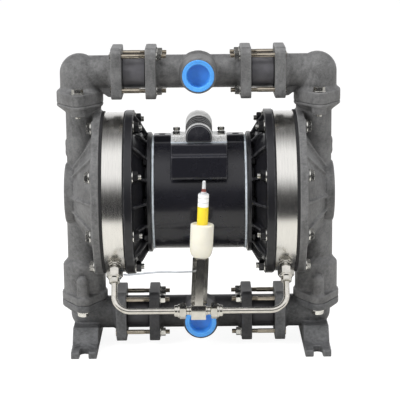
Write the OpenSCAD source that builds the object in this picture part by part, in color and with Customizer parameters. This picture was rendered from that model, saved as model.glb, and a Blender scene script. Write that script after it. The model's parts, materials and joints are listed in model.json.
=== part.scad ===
// Air-operated double-diaphragm pump with containment rings and a leak detector.
// Millimetres. X runs left to right, the ports and the leak detector face -Y, Z is up.
// The origin is on the floor under the middle of the pump.

/* [Manifold] */
// Height of the suction manifold's axis above the floor
suction_z = 53; // [46:0.5:60]
// Outer radius of the manifold tubes
tube_r = 28; // [26:0.5:30]
// Bore radius of the manifold tubes
tube_bore = 20; // [17:0.5:22]
// Half length of each tee
tee_half = 88.5; // [80:0.5:94]
// Thickness of a clamp flange
clamp_t = 18; // [14:0.5:22]
// Width and height of a clamp flange
clamp_w = 86.3; // [80:0.1:92]
// Corner radius of a clamp flange
clamp_corner = 11; // [6:0.5:13]
// Thickness of each ring seal between a flange and a spacer tube
face_seal_t = 1.5; // [1:0.1:2.5]
// Distance of a port's face from the tee's axis
port_reach = 69; // [60:0.5:78]
// Outer radius of a port boss at its face
port_r = 29.6; // [29:0.1:31]
// Outer radius of a port boss at its root
port_root_r = 32.4; // [31.5:0.1:34]
// Bore radius of a port (1-1/2 inch pipe thread, cut as a plain bore)
port_bore = 22.4; // [21.5:0.1:23]
// Depth of the wide port bore
port_depth = 26; // [20:0.5:30]

/* [Tie bolts] */
// Radius of a tie bolt
tie_r = 4; // [3:0.5:5]
// Distance of each tie bolt from the tube's axis, across and up
tie_offset = 29; // [27:0.5:31]
// Width across flats of a tie nut and a tie bolt head
tie_flats = 13; // [12:0.5:15]
// Height of a tie bolt head
tie_head_h = 5.3; // [4:0.1:6]
// Height of a tie nut
tie_nut_h = 8; // [6:0.1:9]
// Length of thread that stands out past a nut
thread_out = 7; // [2:0.5:8]
// Depth of the pocket round each tie bolt head
tie_pocket = 5.5; // [0:0.5:9]
// Thickness of the small washers
tie_washer_t = 1.6; // [1:0.1:2.4]

/* [Elbows] */
// Distance from the outer clamp flange's inner face to the column axis
elbow_reach = 73; // [68:0.5:78]
// Height of the suction joint above the suction axis
inlet_rise = 27; // [26:0.5:32]
// Height of the discharge axis above the discharge joint
outlet_rise = 51; // [48:0.5:66]
// Outer radius of an upper elbow's upright leg
outlet_leg_r = 33; // [31.5:0.5:35]
// Bore radius of an upper elbow's upright leg
outlet_leg_bore = 25; // [24.5:0.1:26]
// Outer radius of a lower elbow's upright leg
inlet_leg_r = 26; // [25:0.5:30]
// Half width of a joint flange, across its bolts
joint_half_w = 39.5; // [37:0.5:41]
// Distance of each joint bolt from the column axis
joint_bolt_y = 49; // [47:0.5:52]
// Radius of a joint flange's rounded nose
joint_nose_r = 14; // [13:0.5:15]
// Thickness of an upper elbow's joint flange
outlet_flange_t = 20; // [14:0.5:24]
// Thickness of a lower elbow's joint flange
inlet_flange_t = 12; // [10:0.5:14]
// Half thickness of the web under an upper elbow
web_half = 11; // [6:0.5:14]

/* [Feet] */
// Width of a foot
foot_w = 44; // [40:0.5:50]
// Distance of the feet and the lower elbow's bend inside the column axis
foot_inset = 3; // [0:0.5:5]
// Distance from the column axis to the tip of a foot
foot_reach = 105; // [96:0.5:112]
// Thickness of a foot under the bolt
foot_seat_t = 12; // [9:0.5:16]
// Height of a foot's crest, where its front slope starts
foot_top_z = 38; // [34:0.5:46]
// Distance from the column axis to a foot's crest
foot_crest_y = 47; // [42:0.5:52]
// Distance from the column axis to the foot of the slope
foot_toe_y = 67; // [62:0.5:72]
// Width of a foot's open slot
slot_w = 15; // [12:0.5:17]
// Distance from the column axis to the slot's closed end
slot_end_y = 84; // [80:0.5:88]
// Radius of the clearance cut above the slot
slot_clear_r = 17; // [15:0.5:19]
// Wall on each side of the hollow under a foot
foot_wall = 7; // [5:0.5:9]
// Height of the hollow under a foot
foot_hollow_h = 18; // [14:0.5:20]

/* [Casing] */
// Radius of the casing's clamped rims
rim_r = 141; // [139:0.5:144]
// Distance of the suction joint below the rims
cap_drop_past_rim = 45; // [39:0.5:51]
// Distance of the discharge joint above the rims
cap_rise_past_rim = 16; // [4:0.5:20]
// Distance of the casing bolts' circle inside the rims
casing_bolt_inset = 12; // [11:0.5:14]
// Number of casing bolts on each side
casing_bolts_n = 8; // [8:1:8]
// Radius of a casing bolt and of a joint bolt
bolt_r = 5; // [4:0.5:5.5]
// Width across flats of a casing bolt head
bolt_flats = 17; // [15:0.5:18]
// Height of a casing bolt head
bolt_head_h = 6.5; // [5:0.1:7]
// Height of a casing nut
bolt_nut_h = 8.4; // [7:0.1:9]
// Thickness of the large washers
bolt_washer_t = 2; // [1:0.1:2.5]
// Radial clearance of a bolt in its hole
bolt_gap = 0.5; // [0.3:0.1:1]

/* [Containment ring] */
// Width of the ring
ring_w = 34.5; // [30:0.5:40]
// Distance of the ring's outer face inside the rims
ring_inset = 3.5; // [2.5:0.5:5]
// Wall of the ring
ring_wall = 20.5; // [18.5:0.5:23.5]

/* [Fluid cap] */
// Thickness of the fluid cap's rim
cap_rim_t = 13; // [11:0.5:16]
// Radius of the dome where it meets the rim
dome_foot_r = 106; // [102:0.5:110]
// Radius of the dome's outer face
dome_face_r = 52; // [48:0.5:56]
// Distance from the rim to the dome's outer face
dome_h = 51.5; // [50.5:0.5:54]
// Thickness of the dome's outer plate
dome_face_t = 15; // [12:0.5:18]
// Wall of the fluid cap
cap_wall = 8; // [6:0.5:9]
// Distance from the rim to the column axis
column_offset = 23.5; // [23:0.5:24.5]
// Radius of the column above the dome
column_r = 25; // [24:0.5:26.5]
// Radius of the column below the dome
lower_column_r = 28; // [26:0.5:29.5]
// Bore radius of the column
column_bore = 18; // [16:0.5:19]
// Outer radius of the suction ball chamber
ball_chamber_r = 36.5; // [35.5:0.5:38]
// Height of the suction ball chamber above the joint
ball_chamber_h = 62; // [60:0.5:68]
// Height of the shoulder above the suction ball chamber
shoulder_h = 10; // [7:0.5:13]
// Thickness of the fluid cap's suction flange
cap_inlet_flange_t = 13; // [11:0.5:15]
// Thickness of the fluid cap's discharge flange at its edge
cap_outlet_flange_t = 5; // [4:0.5:7]
// Height of the slope under the discharge flange
cap_outlet_slope_h = 11; // [8:0.5:13]
// Height of the bosses under the discharge flange's noses
nose_boss_h = 13; // [11:0.5:19]
// Depth of the pocket that hides each upper joint nut
nut_pocket_h = 9; // [0:0.5:10]
// Height of the bosses over the suction flange's noses
inlet_boss_h = 40; // [24:0.5:44]
// Radius of the bosses over the suction flange's noses
lower_boss_r = 10.5; // [9:0.5:12]
// Thickness of the dome's ribs
dome_rib_t = 4.5; // [3:0.5:6]
// Height of the dome's ribs above the dome's foot
dome_rib_rise = 8; // [5:0.5:10]
// Width of the wall from the rim up to the discharge joint
upper_gusset_w = 28; // [22:0.5:34]
// Width of the wall from the rim down to the suction joint
lower_gusset_w = 36; // [28:0.5:40]
// Radius of the round pads on the column's ear
ear_pad_r = 6.5; // [5:0.5:6.5]
// Thickness of the pads under the casing bolts' washers
pad_t = 2; // [1:0.1:3]

/* [Air cap] */
// Thickness of the air cap's rim
air_rim_t = 14; // [12:0.5:16]
// Depth of the air cap, from the centre gasket to its rim face
air_cap_h = 45.5; // [44:0.5:50]
// How far the air cap's neck stands out past the centre body
neck_proud = 6; // [4:0.5:8]
// Width of the air cap's neck
neck_t = 9; // [8:0.5:10]
// Width of the neck's flat face, from its edge to the wall's root
neck_land = 19; // [17:0.5:21]
// Free depth behind a casing nut, for its spanner
nut_room = 20; // [14:0.5:22]
// Width of the rim's flat face under the casing nuts
nut_land = 17; // [14:0.5:20]
// Thickness of the air cap round the shaft
air_floor_t = 16; // [14:0.5:18]
// Number of ribs round the air cap
air_ribs_n = 16; // [8:8:16]
// Thickness of the air cap's ribs
air_rib_t = 4.5; // [3:0.5:6]
// Thickness of the diaphragm rim beside the air cap
air_bead_t = 1.5; // [1:0.1:2.5]
// Distance of the air cap screws' circle inside the centre body's edge
neck_screw_inset = 6; // [5:0.1:7]
// Length of air cap screw in the centre body
neck_screw_grip = 11; // [8:0.5:11]
// Number of air cap screws
neck_screws_n = 8; // [4:4:8]

/* [Centre body] */
// Radius of the centre body
body_r = 97; // [95:0.5:99]
// Half width of the centre body
body_half = 76; // [72:0.5:80]
// Wall of the centre body
body_wall = 8; // [6:0.5:12]
// Radius of the hub round the shaft
hub_r = 30; // [27:0.5:34]
// Thickness of the centre body's end flanges
end_flange_t = 14; // [11:0.5:18]
// Width of the end flanges' faces
end_flange_w = 26; // [24:0.5:30]
// Half thickness of the wall across the middle of the centre body
mid_wall_half = 8; // [5:0.5:10]
// Thickness of the pale gaskets
gasket_t = 3; // [2:0.5:4]
// Width of the pale gaskets inside the centre body's edge
gasket_w = 19; // [17:0.5:21]
// How far the pale gaskets stand out past the centre body
gasket_proud = 0.6; // [0:0.1:1]
// Distance of the top blocks' inner faces from the middle
block_x0 = 47; // [46.5:0.5:54]
// Height of the top blocks above the casing axis
block_rise = 104; // [101:0.5:107]
// Front face of the top blocks, from the axis
block_front = 34; // [30:0.5:38]
// Depth of the top blocks
block_depth = 26; // [20:0.5:30]
// Radius of the hole in each top block
block_hole_r = 5.1; // [4:0.1:6]
// Depth of the hole in each top block
block_hole_depth = 16; // [12:0.5:20]
// Distance of each top block's hole from the middle
block_hole_x = 62; // [59:0.5:66]
// Radius of the air inlet bore
inlet_bore = 9.3; // [8:0.1:11]
// Radius of the air inlet boss
inlet_boss_r = 17; // [15:0.5:20]
// Distance of the air inlet's face from the casing axis
inlet_face_y = 106; // [103:0.5:112]
// Depth of the air inlet bore
inlet_depth = 20; // [16:0.5:22]

/* [Air valve] */
// Half width of the valve seat on the centre body
seat_half_w = 46.5; // [44:0.5:46.5]
// Front face of the valve seat, from the axis
seat_front = 110; // [105:0.5:114]
// Rear face of the valve seat, from the axis
seat_rear = 24; // [16:0.5:30]
// How far the valve seat stands above the centre body's crown
seat_proud = 3; // [2:0.5:6]
// Depth of the valve seat's front wall
seat_depth = 59; // [52:0.5:64]
// Chamfer along the bottom of the seat's front wall
seat_chamfer = 4; // [2:0.5:6]
// Height of the step in the seat's front wall, below its top
seat_step_drop = 20; // [14:0.5:24]
// Depth of the step in the seat's front wall
seat_step_in = 5; // [3:0.5:7]
// Radius of the valve's round barrel
barrel_r = 23; // [21:0.5:24]
// Height of the barrel's axis above the valve seat
barrel_rise = 8; // [8:0.5:12]
// Front end of the barrel, from the axis
barrel_front = 88; // [84:0.5:94]
// Rear end of the barrel, from the axis
barrel_rear = 66; // [65:0.5:68]
// Length of the barrel's smooth collar at the front
barrel_collar_l = 6; // [3:0.5:8]
// Number of black ribs round the barrel
barrel_ribs_n = 5; // [3:1:5]
// Distance from one rib to the next
barrel_rib_pitch = 18; // [15:0.5:18]
// Width of a rib round the barrel
barrel_rib_w = 12; // [8:0.5:14]
// Depth of the grooves between the ribs
barrel_rib_depth = 2.5; // [1.5:0.5:4]
// Thickness of the valve's mounting flange
valve_flange_t = 11; // [8:0.5:12]
// Rear edge of the valve's mounting flange, in front of the axis
valve_flange_rear = 44; // [38:0.5:46]
// Thickness of the pale gasket under the valve
valve_gasket_t = 1; // [0.5:0.1:1.5]
// Radius of the black end cap
end_cap_r = 21.5; // [18:0.5:22.5]
// Thickness of the black end cap
end_cap_t = 4; // [3:0.5:6]
// Radius of the spool's bore
spool_bore = 6; // [5:0.5:6.5]
// Radial clearance of the spool
spool_gap = 0.05; // [0.02:0.01:0.1]
// Length of the spool
spool_l = 96; // [88:0.5:100]
// Travel of the spool
spool_travel = 12; // [8:0.5:14]
// Distance of each valve screw from the middle
valve_screw_x = 37; // [35:0.5:39]
// Distance of the front valve screws from the axis
valve_screw_y = 77; // [74:0.5:80]
// Distance of the rear valve screws from the axis
valve_screw_rear_y = 54; // [52:0.5:58]
// Radius of a valve screw
valve_screw_r = 3; // [2.5:0.5:3.5]
// Length of valve screw in the valve seat
valve_screw_grip = 10; // [8:0.5:12]
// Radius of a valve screw's foot ring
valve_foot_r = 6; // [5.5:0.1:7]
// Thickness of a valve screw's foot ring
valve_foot_t = 1.5; // [1:0.1:2]
// Radius of a valve screw's post
valve_post_r = 4.6; // [4:0.1:5]
// Height of the rear screws' posts above their foot rings
valve_post_h = 2.5; // [1:0.5:5]
// Width across flats of a valve screw's head
valve_head_flats = 10; // [8:0.5:11]
// Height of a valve screw's head
valve_head_h = 5; // [4:0.5:6]

/* [Muffler] */
// Radius of the muffler
muffler_r = 21.5; // [20:0.5:23]
// Length of the muffler's body
muffler_l = 92.7; // [80:0.1:100]
// Distance of the muffler's axis below the barrel's axis
muffler_drop = 14; // [8:0.5:14]
// Length of the muffler's stub in the valve
muffler_stub_l = 12; // [9:0.5:14]

/* [Shaft] */
// Radius of the main shaft
shaft_r = 12.5; // [11.5:0.5:13]
// Running clearance of the shaft in its bushes
shaft_gap = 0.05; // [0.02:0.01:0.1]
// Radius of the shaft's threaded ends
shaft_end_r = 10; // [8:0.5:10.5]
// Wall of a shaft bush
bush_wall = 3.5; // [2.5:0.5:4.5]
// Length of a shaft bush
bush_l = 22; // [16:0.5:30]
// Length of a shaft seal
shaft_seal_l = 8; // [6:0.5:10]
// Wall of a shaft seal
shaft_seal_wall = 6.5; // [5:0.5:8]
// Travel of the shaft each way from the middle
stroke = 14; // [10:0.5:15]
// Radius of the diaphragm plates
plate_r = 66; // [60:0.5:67]
// Thickness of the inner and outer diaphragm plates
plate_t = 7; // [5:0.5:8]
// Thickness of the diaphragms between rim and plates
diaphragm_t = 3; // [2:0.5:3.5]
// Radius of the pilot rod
pilot_r = 5; // [4:0.5:6]
// Running clearance of the pilot rod
pilot_gap = 0.05; // [0.02:0.01:0.1]
// Distance of the pilot rod above the shaft
pilot_rise = 40; // [38:0.5:44]
// Travel of the pilot rod each way from the middle
pilot_travel = 4; // [3:0.5:5]

/* [Ball valves] */
// Radius of a valve ball
ball_r = 20; // [19.5:0.1:20.5]
// Bore radius of a ball seat
seat_bore = 16; // [15:0.5:17]
// Outer radius of a ball seat
seat_r = 31; // [29.5:0.5:32]
// Thickness of a ball seat
seat_t = 6; // [5:0.5:8]
// Thickness of a seat seal
seal_t = 2; // [1.5:0.1:3]
// Lift of a valve ball
ball_lift = 12; // [8:0.5:13]
// Clearance between a resting ball and its seat
ball_gap = 0.3; // [0.2:0.05:0.4]
// Thickness of the ball guides
guide_t = 5; // [4:0.5:7]

/* [Port plugs] */
// Radius of a port plug's lip
plug_lip_r = 26.5; // [25:0.5:28]
// Thickness of a port plug's lip
plug_lip_t = 3; // [2:0.5:5]
// Radius of the hollow in a port plug
plug_hollow_r = 19; // [17:0.5:20]
// Depth of a port plug behind its lip
plug_depth = 20; // [16:0.5:24]
// Clearance of a port plug in its port
plug_gap = 0.1; // [0.05:0.05:0.3]

/* [Leak detector] */
// Clock angle of the ring fittings below the horizontal, facing the front
fitting_angle = 51; // [48:0.5:54]
// Radius of a ring fitting's weld collar
collar_r = 10.5; // [9:0.5:12]
// Height of a ring fitting's weld collar
collar_h = 9.5; // [7:0.5:12]
// Width across flats of the tube nuts
tube_nut_flats = 24; // [21:0.5:26]
// Length of the tube nuts on the ring fittings
tube_nut_l = 24; // [18:0.5:26]
// Outer radius of the drain tube
drain_r = 5; // [4:0.5:6]
// Wall of the drain tube
drain_wall = 1; // [0.8:0.1:1.5]
// Bend radius of the drain tube
drain_bend = 28; // [24:0.5:32]
// Distance of the drain tube's level run from the casing axis
drain_reach = 222; // [218:0.5:226]
// Distance of the detector right of the pump's middle
detector_x = -3.5; // [-6:0.5:6]
// Lean of the sensor column to the right, in degrees
sensor_lean = 3; // [-4:0.5:4]
// Width of the tee block
block_w = 24.5; // [22:0.5:28]
// Length of the thin neck beside the tee block
side_neck_l = 8; // [6:0.5:10]
// Length of the side nuts
side_nut_l = 20; // [16:0.5:22]
// Width across flats of the hexagon column
hex_flats = 23; // [20:0.5:25]
// Height of the hexagon column
hex_h = 78.5; // [70:0.5:86]
// Radius of the sensor holder
holder_r = 19; // [17:0.5:20]
// Height of the sensor holder
holder_h = 56.5; // [50:0.5:62]
// Radius of the sensor holder's foot
holder_foot_r = 11; // [10:0.5:13]
// Height of the sensor holder's rounded shoulder
holder_shoulder_h = 17; // [12:0.5:22]
// Radius of the sensor
sensor_r = 9; // [8:0.5:10]
// Height of the yellow part of the sensor
sensor_h = 29; // [24:0.5:34]
// Height of the white band on the sensor
band_h = 22; // [18:0.5:26]
// Radius of the sensor's cable gland at its foot
gland_r = 3.6; // [3:0.1:5]
// Height of the sensor's cable gland
gland_h = 21; // [16:0.5:26]
// Radius of the bonding wire
wire_r = 1.5; // [1:0.1:2]

/* [Hidden] */
$fn = 96;
sides = [-1, 1];
// Seated parts that aren't face to face keep this gap
seat_gap = 0.2;
thread_gap = 0.1;
// Room for a spanner round a casing or joint bolt
wrench_r = bolt_flats * 0.7;
tie_wrench_l = 12;
// Radius of the washers, and room round a tie bolt's washer
bolt_washer_r = bolt_flats * 0.65;
tie_washer_r = tie_flats * 0.66;
tie_wrench_r = tie_washer_r + 0.5;
// What grows out of the centre body's drum starts this far from its axis
drum_root = 60;
seat_rise = body_r + seat_proud;
// Height of the slope between a joint flange and its round leg
leg_slope_h = 5;
joint_slope_r = joint_half_w - 0.5;

// The casing's stack along X, from the middle outwards
gasket_x = body_half;
air_x = gasket_x + gasket_t;
air_rim_x = air_x + air_cap_h;
ring_x = air_rim_x + air_bead_t;
fluid_bead_x = ring_x + ring_w;
fluid_bead_t = 4;
cap_x = fluid_bead_x + fluid_bead_t;
cap_rim_x = cap_x + cap_rim_t;
column_x = cap_rim_x + column_offset;
dome_x = cap_rim_x + dome_h;
nut_face_x = air_rim_x - air_rim_t;
dome_plate_x = dome_x - dome_face_t;

// The casing's radii, from the rims inwards
ring_r = rim_r - ring_inset;
ring_bore = ring_r - ring_wall;
casing_pcd_r = rim_r - casing_bolt_inset;
floor_rim_r = rim_r - nut_land;
neck_r = body_r + neck_proud;
floor_root_r = neck_r - neck_land;
neck_screw_pcd_r = body_r - neck_screw_inset;
shaft_seal_r = shaft_r + shaft_seal_wall;
bush_r = shaft_r + shaft_gap + bush_wall;
short_rib_r = casing_pcd_r - bolt_washer_r - 1.8;

// Heights of the ear's pads above the casing axis, and angles of the dome's ribs from the top
ear_pad_heights = [72, 86];
dome_rib_angles = [26, 47, 90, 118];

// Heights
cap_drop = rim_r + cap_drop_past_rim;
cap_rise = rim_r + cap_rise_past_rim;
suction_joint_z = suction_z + inlet_rise;
casing_z = suction_joint_z + cap_drop;
discharge_joint_z = casing_z + cap_rise;
discharge_z = discharge_joint_z + outlet_rise;

// Places of the joint bolts' heads, and the depth of their blind holes in the fluid caps
joint_head_r = bolt_flats * 0.68;
joint_head_room = 30;
inlet_tap_h = inlet_boss_h * 0.55;

// Bosses and passages in the centre body
pilot_boss_r = pilot_r + 6;
inlet_floor_t = 4;
shaft_room = 1.5;

// The manifolds' stack along X
outer_clamp_x = column_x - elbow_reach;
foot_x = column_x - foot_inset;
spacer_x0 = tee_half + face_seal_t;
spacer_x1 = outer_clamp_x - face_seal_t;
clamp_face_x = outer_clamp_x + clamp_t;
tie_head_x = clamp_face_x - tie_pocket;
tie_nut_x = tee_half - clamp_t;

// The air valve's places
seat_z = casing_z + seat_rise;
valve_z = seat_z + valve_gasket_t;
barrel_z = valve_z + barrel_rise;
end_cap_plug = 6;
spool_start = -barrel_front + end_cap_plug + seat_gap;

// The leak detector's places
drain_y = -drain_reach * cos(fitting_angle);
drain_z = casing_z - drain_reach * sin(fitting_angle);
ring_mid_x = ring_x + ring_w / 2;
nut_r0 = ring_r + collar_h;
nut_r1 = nut_r0 + tube_nut_l;
detector_top = block_w / 2 + hex_h;
side_nut_x = block_w / 2 + side_neck_l;
spigot_r = collar_r - 3;
spigot_l = 8;
sensor_socket_h = 10;
sensor_passage_r = sensor_r * 0.7;
band_rise = detector_top + holder_h + sensor_h;
gland_rise = band_rise + band_h;

// Ball valve places above each joint
seat_z0 = seal_t;
ball_z = seal_t + seat_t + sqrt(ball_r * ball_r - seat_bore * seat_bore) + ball_gap;
ball_stop_z = ball_z + ball_r + ball_lift + ball_gap;
guide_gap = 0.4;
seal_inset = 4;
pocket_r = seat_r + seat_gap;

// The bonding wire's route, from the left ring fitting to the hexagon column
wire_end_rise = 67;
wire_points = [
    [-ring_mid_x + tube_nut_flats / 2 / cos(30) + wire_r, -100, 146], [-120, -104, 146.5], [-108, -110, 149],
    [-95, -117, 152], [-82, -124, 155], [-68, -130, 157.5], [-54, -135, 159], [-40, -139, 159.5],
    [-27, drain_y, 160],
    [detector_x + wire_end_rise * tan(sensor_lean) - hex_flats / 2 / cos(30) / cos(sensor_lean) - seat_gap,
        drain_y, drain_z + wire_end_rise]
];

// Helpers
module bar_x(x0, x1, r) {
    translate([x0, 0, 0]) rotate([0, 90, 0]) cylinder(r = r, h = x1 - x0);
}
module bar_y(y0, y1, r) {
    translate([0, y0, 0]) rotate([-90, 0, 0]) cylinder(r = r, h = y1 - y0);
}
module bar_z(z0, z1, r) {
    translate([0, 0, z0]) cylinder(r = r, h = z1 - z0);
}
// A shape turned about the X axis from points given as [radius, x]
module turned_x(points) {
    rotate([0, 90, 0]) rotate_extrude() polygon(points);
}
// A hexagonal prism that stands on z = 0
module hexagon(flats, h) {
    cylinder(r = flats / 2 / cos(30), h = h, $fn = 6);
}
// The right-hand child, or its mirror image on the left
module on_side(side) {
    if (side < 0) mirror([1, 0, 0]) children();
    else children();
}
module both_sides() {
    for (side = sides) on_side(side) children();
}
module at_casing() {
    translate([0, 0, casing_z]) children();
}
// Copies round the X axis at equal steps from a start angle above the front
module round_x(n, start) {
    for (i = [0 : n - 1]) rotate([-(start + i * 360 / n), 0, 0]) children();
}
module at_casing_bolts(x = 0) {
    round_x(casing_bolts_n, 180 / casing_bolts_n) translate([x, -casing_pcd_r, 0]) children();
}
module at_neck_screws(x = 0) {
    round_x(neck_screws_n, 0) translate([x, -neck_screw_pcd_r, 0]) children();
}
module at_pilot() {
    translate([0, 0, pilot_rise]) children();
}
// A ring along X
module ring_along_x(x0, x1, r, bore) {
    turned_x([[bore, x0], [r, x0], [r, x1], [bore, x1]]);
}
// A ring along Y
module ring_along_y(y0, y1, r, bore) {
    rotate([-90, 0, 0]) rotate_extrude() polygon([[bore, y0], [r, y0], [r, y1], [bore, y1]]);
}
// A bolt along +X: its head's underside is at x = 0 and its shank runs to -length
module bolt_x(r, flats, head_h, length) {
    rotate([0, 90, 0]) hexagon(flats, head_h);
    bar_x(-length, 0.01, r);
}
// A nut along +X that stands on x = 0
module nut_x(r, flats, h) {
    rotate([0, 90, 0]) difference() {
        hexagon(flats, h);
        translate([0, 0, -1]) cylinder(r = r + thread_gap, h = h + 2);
    }
}
module washer_x(r, outer, t) {
    ring_along_x(0, t, outer, r + thread_gap);
}
// A plate outline with round corners
module rounded_plate(w, h, r) {
    square([w - 2 * r, h], center = true);
    square([w, h - 2 * r], center = true);
    for (x = sides, y = sides) translate([x * (w / 2 - r), y * (h / 2 - r)]) circle(r = r);
}
// The two-bolt joint flange's outline: a round middle with a nose to the front and to the rear
module joint_outline(grow = 0) {
    big = joint_half_w + grow;
    small = joint_nose_r + grow;
    c = (big - small) / joint_bolt_y;
    s = sqrt(1 - c * c);
    circle(r = big);
    for (y = sides) {
        translate([0, y * joint_bolt_y]) circle(r = small);
        polygon([
            [-big * s, y * big * c], [big * s, y * big * c],
            [small * s, y * (joint_bolt_y + small * c)], [-small * s, y * (joint_bolt_y + small * c)]
        ]);
    }
}
module joint_flange(z0, t) {
    translate([0, 0, z0]) linear_extrude(t) joint_outline();
}
module joint_holes(z0, z1) {
    for (y = sides) translate([0, y * joint_bolt_y, 0]) bar_z(z0, z1, bolt_r + bolt_gap);
}

// Centre body
module body_pocket() {
    inner_x = body_half - end_flange_t;
    turned_x([
        [hub_r, mid_wall_half], [body_r - body_wall, mid_wall_half], [body_r - body_wall, inner_x],
        [body_r - end_flange_w, body_half + 1], [hub_r, body_half + 1]
    ]);
}
module top_blocks() {
    both_sides() translate([block_x0, -block_front, drum_root])
        cube([body_half - block_x0, block_depth, block_rise - drum_root]);
}
module valve_seat_block() {
    low = seat_rise - seat_depth;
    step = seat_rise - seat_step_drop;
    translate([-seat_half_w, 0, 0]) rotate([90, 0, 90]) linear_extrude(2 * seat_half_w) polygon([
        [seat_rear, seat_rise], [seat_rear, drum_root], [-drum_root, low], [-seat_front + seat_chamfer, low],
        [-seat_front, low + seat_chamfer], [-seat_front, step],
        [-seat_front + seat_step_in, step + seat_step_in * 0.6], [-seat_front + seat_step_in * 1.4, seat_rise]
    ]);
}
module centre_body() color("#26262a") at_casing() difference() {
    union() {
        difference() {
            union() {
                bar_x(-body_half, body_half, body_r);
                valve_seat_block();
                top_blocks();
                bar_y(drum_root, inlet_face_y, inlet_boss_r);
            }
            both_sides() body_pocket();
        }
        at_pilot() bar_x(-body_half, body_half, pilot_boss_r);
        bar_y(inlet_face_y - inlet_depth - inlet_floor_t, inlet_face_y, inlet_boss_r);
    }
    bar_x(-body_half - 1, body_half + 1, shaft_r + shaft_room);
    both_sides() bar_x(body_half - bush_l, body_half + 1, bush_r);
    at_pilot() bar_x(-body_half - 1, body_half + 1, pilot_r + pilot_gap);
    both_sides() {
        at_neck_screws() bar_x(body_half - neck_screw_grip - 1, body_half + 1, tie_r + thread_gap);
        translate([block_hole_x, -block_front + block_depth / 2, 0])
            bar_z(block_rise - block_hole_depth, block_rise + 1, block_hole_r);
    }
    translate([0, inlet_face_y - inlet_depth, 0]) bar_y(0, inlet_depth + 1, inlet_bore);
    at_valve_screws() bar_z(seat_rise - valve_screw_grip - 4, seat_rise + 1, valve_screw_r + thread_gap);
}
module centre_gaskets() color("#c9d4dd") at_casing() both_sides() difference() {
    ring_along_x(gasket_x, gasket_x + gasket_t, body_r + gasket_proud, body_r - gasket_w);
    at_neck_screws() bar_x(gasket_x - 1, gasket_x + gasket_t + 1, tie_r + bolt_gap);
}

// Air caps
module air_cap_wall() {
    edge = 2;
    floor_x = air_x + air_floor_t;
    shelf_r = ring_bore - 4;
    turned_x([
        [shaft_r + 1, air_x], [neck_r - 2.5 * edge, air_x], [neck_r, air_x + edge],
        [neck_r, air_x + neck_t - edge / 2], [neck_r - edge, air_x + neck_t], [floor_root_r, air_x + neck_t],
        [floor_rim_r, nut_face_x], [rim_r, nut_face_x], [rim_r, air_rim_x], [shelf_r, air_rim_x],
        [shelf_r - 1, air_rim_x - 6], [plate_r + 10, floor_x], [shaft_r + 1, floor_x]
    ]);
}
module air_rib(r_in, r_out) {
    face_x = air_x + neck_t;
    crown_r = (neck_r + rim_r) / 2;
    rotate([90, 0, 0]) linear_extrude(air_rib_t, center = true) polygon([
        [face_x - 1, r_in], [face_x, neck_r], [(face_x + nut_face_x) / 2, min(r_out, crown_r)],
        [nut_face_x + 0.5, r_out], [nut_face_x + 0.5, floor_rim_r - 8], [face_x + 4, r_in]
    ]);
}
module air_cap() color("#232326") at_casing() difference() {
    union() {
        air_cap_wall();
        // Long ribs over the screws, and short ones in line with the casing bolts
        round_x(air_ribs_n / 2, 0) rotate([90, 0, 0]) air_rib(neck_screw_pcd_r + 9, rim_r - 5);
        round_x(air_ribs_n / 2, 360 / air_ribs_n) rotate([90, 0, 0]) air_rib(floor_root_r, short_rib_r);
        at_pilot() bar_x(air_x, air_x + air_floor_t, pilot_boss_r);
    }
    bar_x(air_x - 1, air_x + shaft_seal_l, shaft_seal_r);
    at_pilot() bar_x(air_x - 1, air_rim_x, pilot_r + pilot_gap);
    at_neck_screws() {
        bar_x(air_x - 1, air_x + neck_t + 1, tie_r + bolt_gap);
        bar_x(air_x + neck_t, air_x + neck_t + tie_head_h + 1.7, tie_wrench_r);
    }
    at_casing_bolts() {
        bar_x(nut_face_x - 1, air_rim_x + 1, bolt_r + bolt_gap);
        bar_x(nut_face_x - nut_room, nut_face_x, bolt_washer_r + bolt_gap);
    }
}
module air_cap_left() on_side(-1) air_cap();
module air_cap_right() on_side(1) air_cap();
module air_cap_screws() color("#55565a") at_casing() both_sides()
    at_neck_screws(air_x + neck_t) bolt_x(tie_r, tie_flats, tie_head_h, neck_t + gasket_t + neck_screw_grip);

// Containment rings
module containment_ring() color("#c8c8c6") at_casing() difference() {
    ring_along_x(ring_x, fluid_bead_x, ring_r, ring_bore);
    at_casing_bolts() bar_x(ring_x - 1, fluid_bead_x + 1, bolt_r + bolt_gap);
    rotate([fitting_angle, 0, 0]) translate([ring_mid_x, 0, 0])
        bar_y(-ring_r - 1, -ring_bore + 2, drain_r - drain_wall);
}
module containment_ring_left() on_side(-1) containment_ring();
module containment_ring_right() on_side(1) containment_ring();

// Fluid caps
// A rib from the dome's outer plate down to the rim, at an angle from the top
module dome_rib(angle) {
    sink = 2;
    root = 12;
    rotate([-angle, 0, 0]) rotate([90, 0, 0]) linear_extrude(dome_rib_t, center = true) polygon([
        [cap_rim_x - sink, dome_foot_r + dome_rib_rise], [cap_rim_x, dome_foot_r + dome_rib_rise],
        [dome_plate_x, dome_face_r + dome_rib_rise / 2], [dome_plate_x + sink, dome_face_r - root / 2],
        [cap_rim_x - sink, dome_foot_r - root]
    ]);
}
module cap_outside() {
    rim_edge = 1;
    plate_edge = 1.5;
    turned_x([
        [0, cap_x], [rim_r, cap_x], [rim_r, cap_rim_x - rim_edge], [rim_r - rim_edge, cap_rim_x],
        [dome_foot_r, cap_rim_x], [dome_face_r - 4, dome_plate_x], [dome_face_r, dome_plate_x],
        [dome_face_r, dome_x - plate_edge], [dome_face_r - plate_edge, dome_x], [0, dome_x]
    ]);
    for (angle = dome_rib_angles, y = sides) dome_rib(y * angle);
    at_casing_bolts() bar_x(cap_rim_x - 1, cap_rim_x + pad_t, wrench_r);
    cap_column();
    cap_gussets();
}
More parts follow.
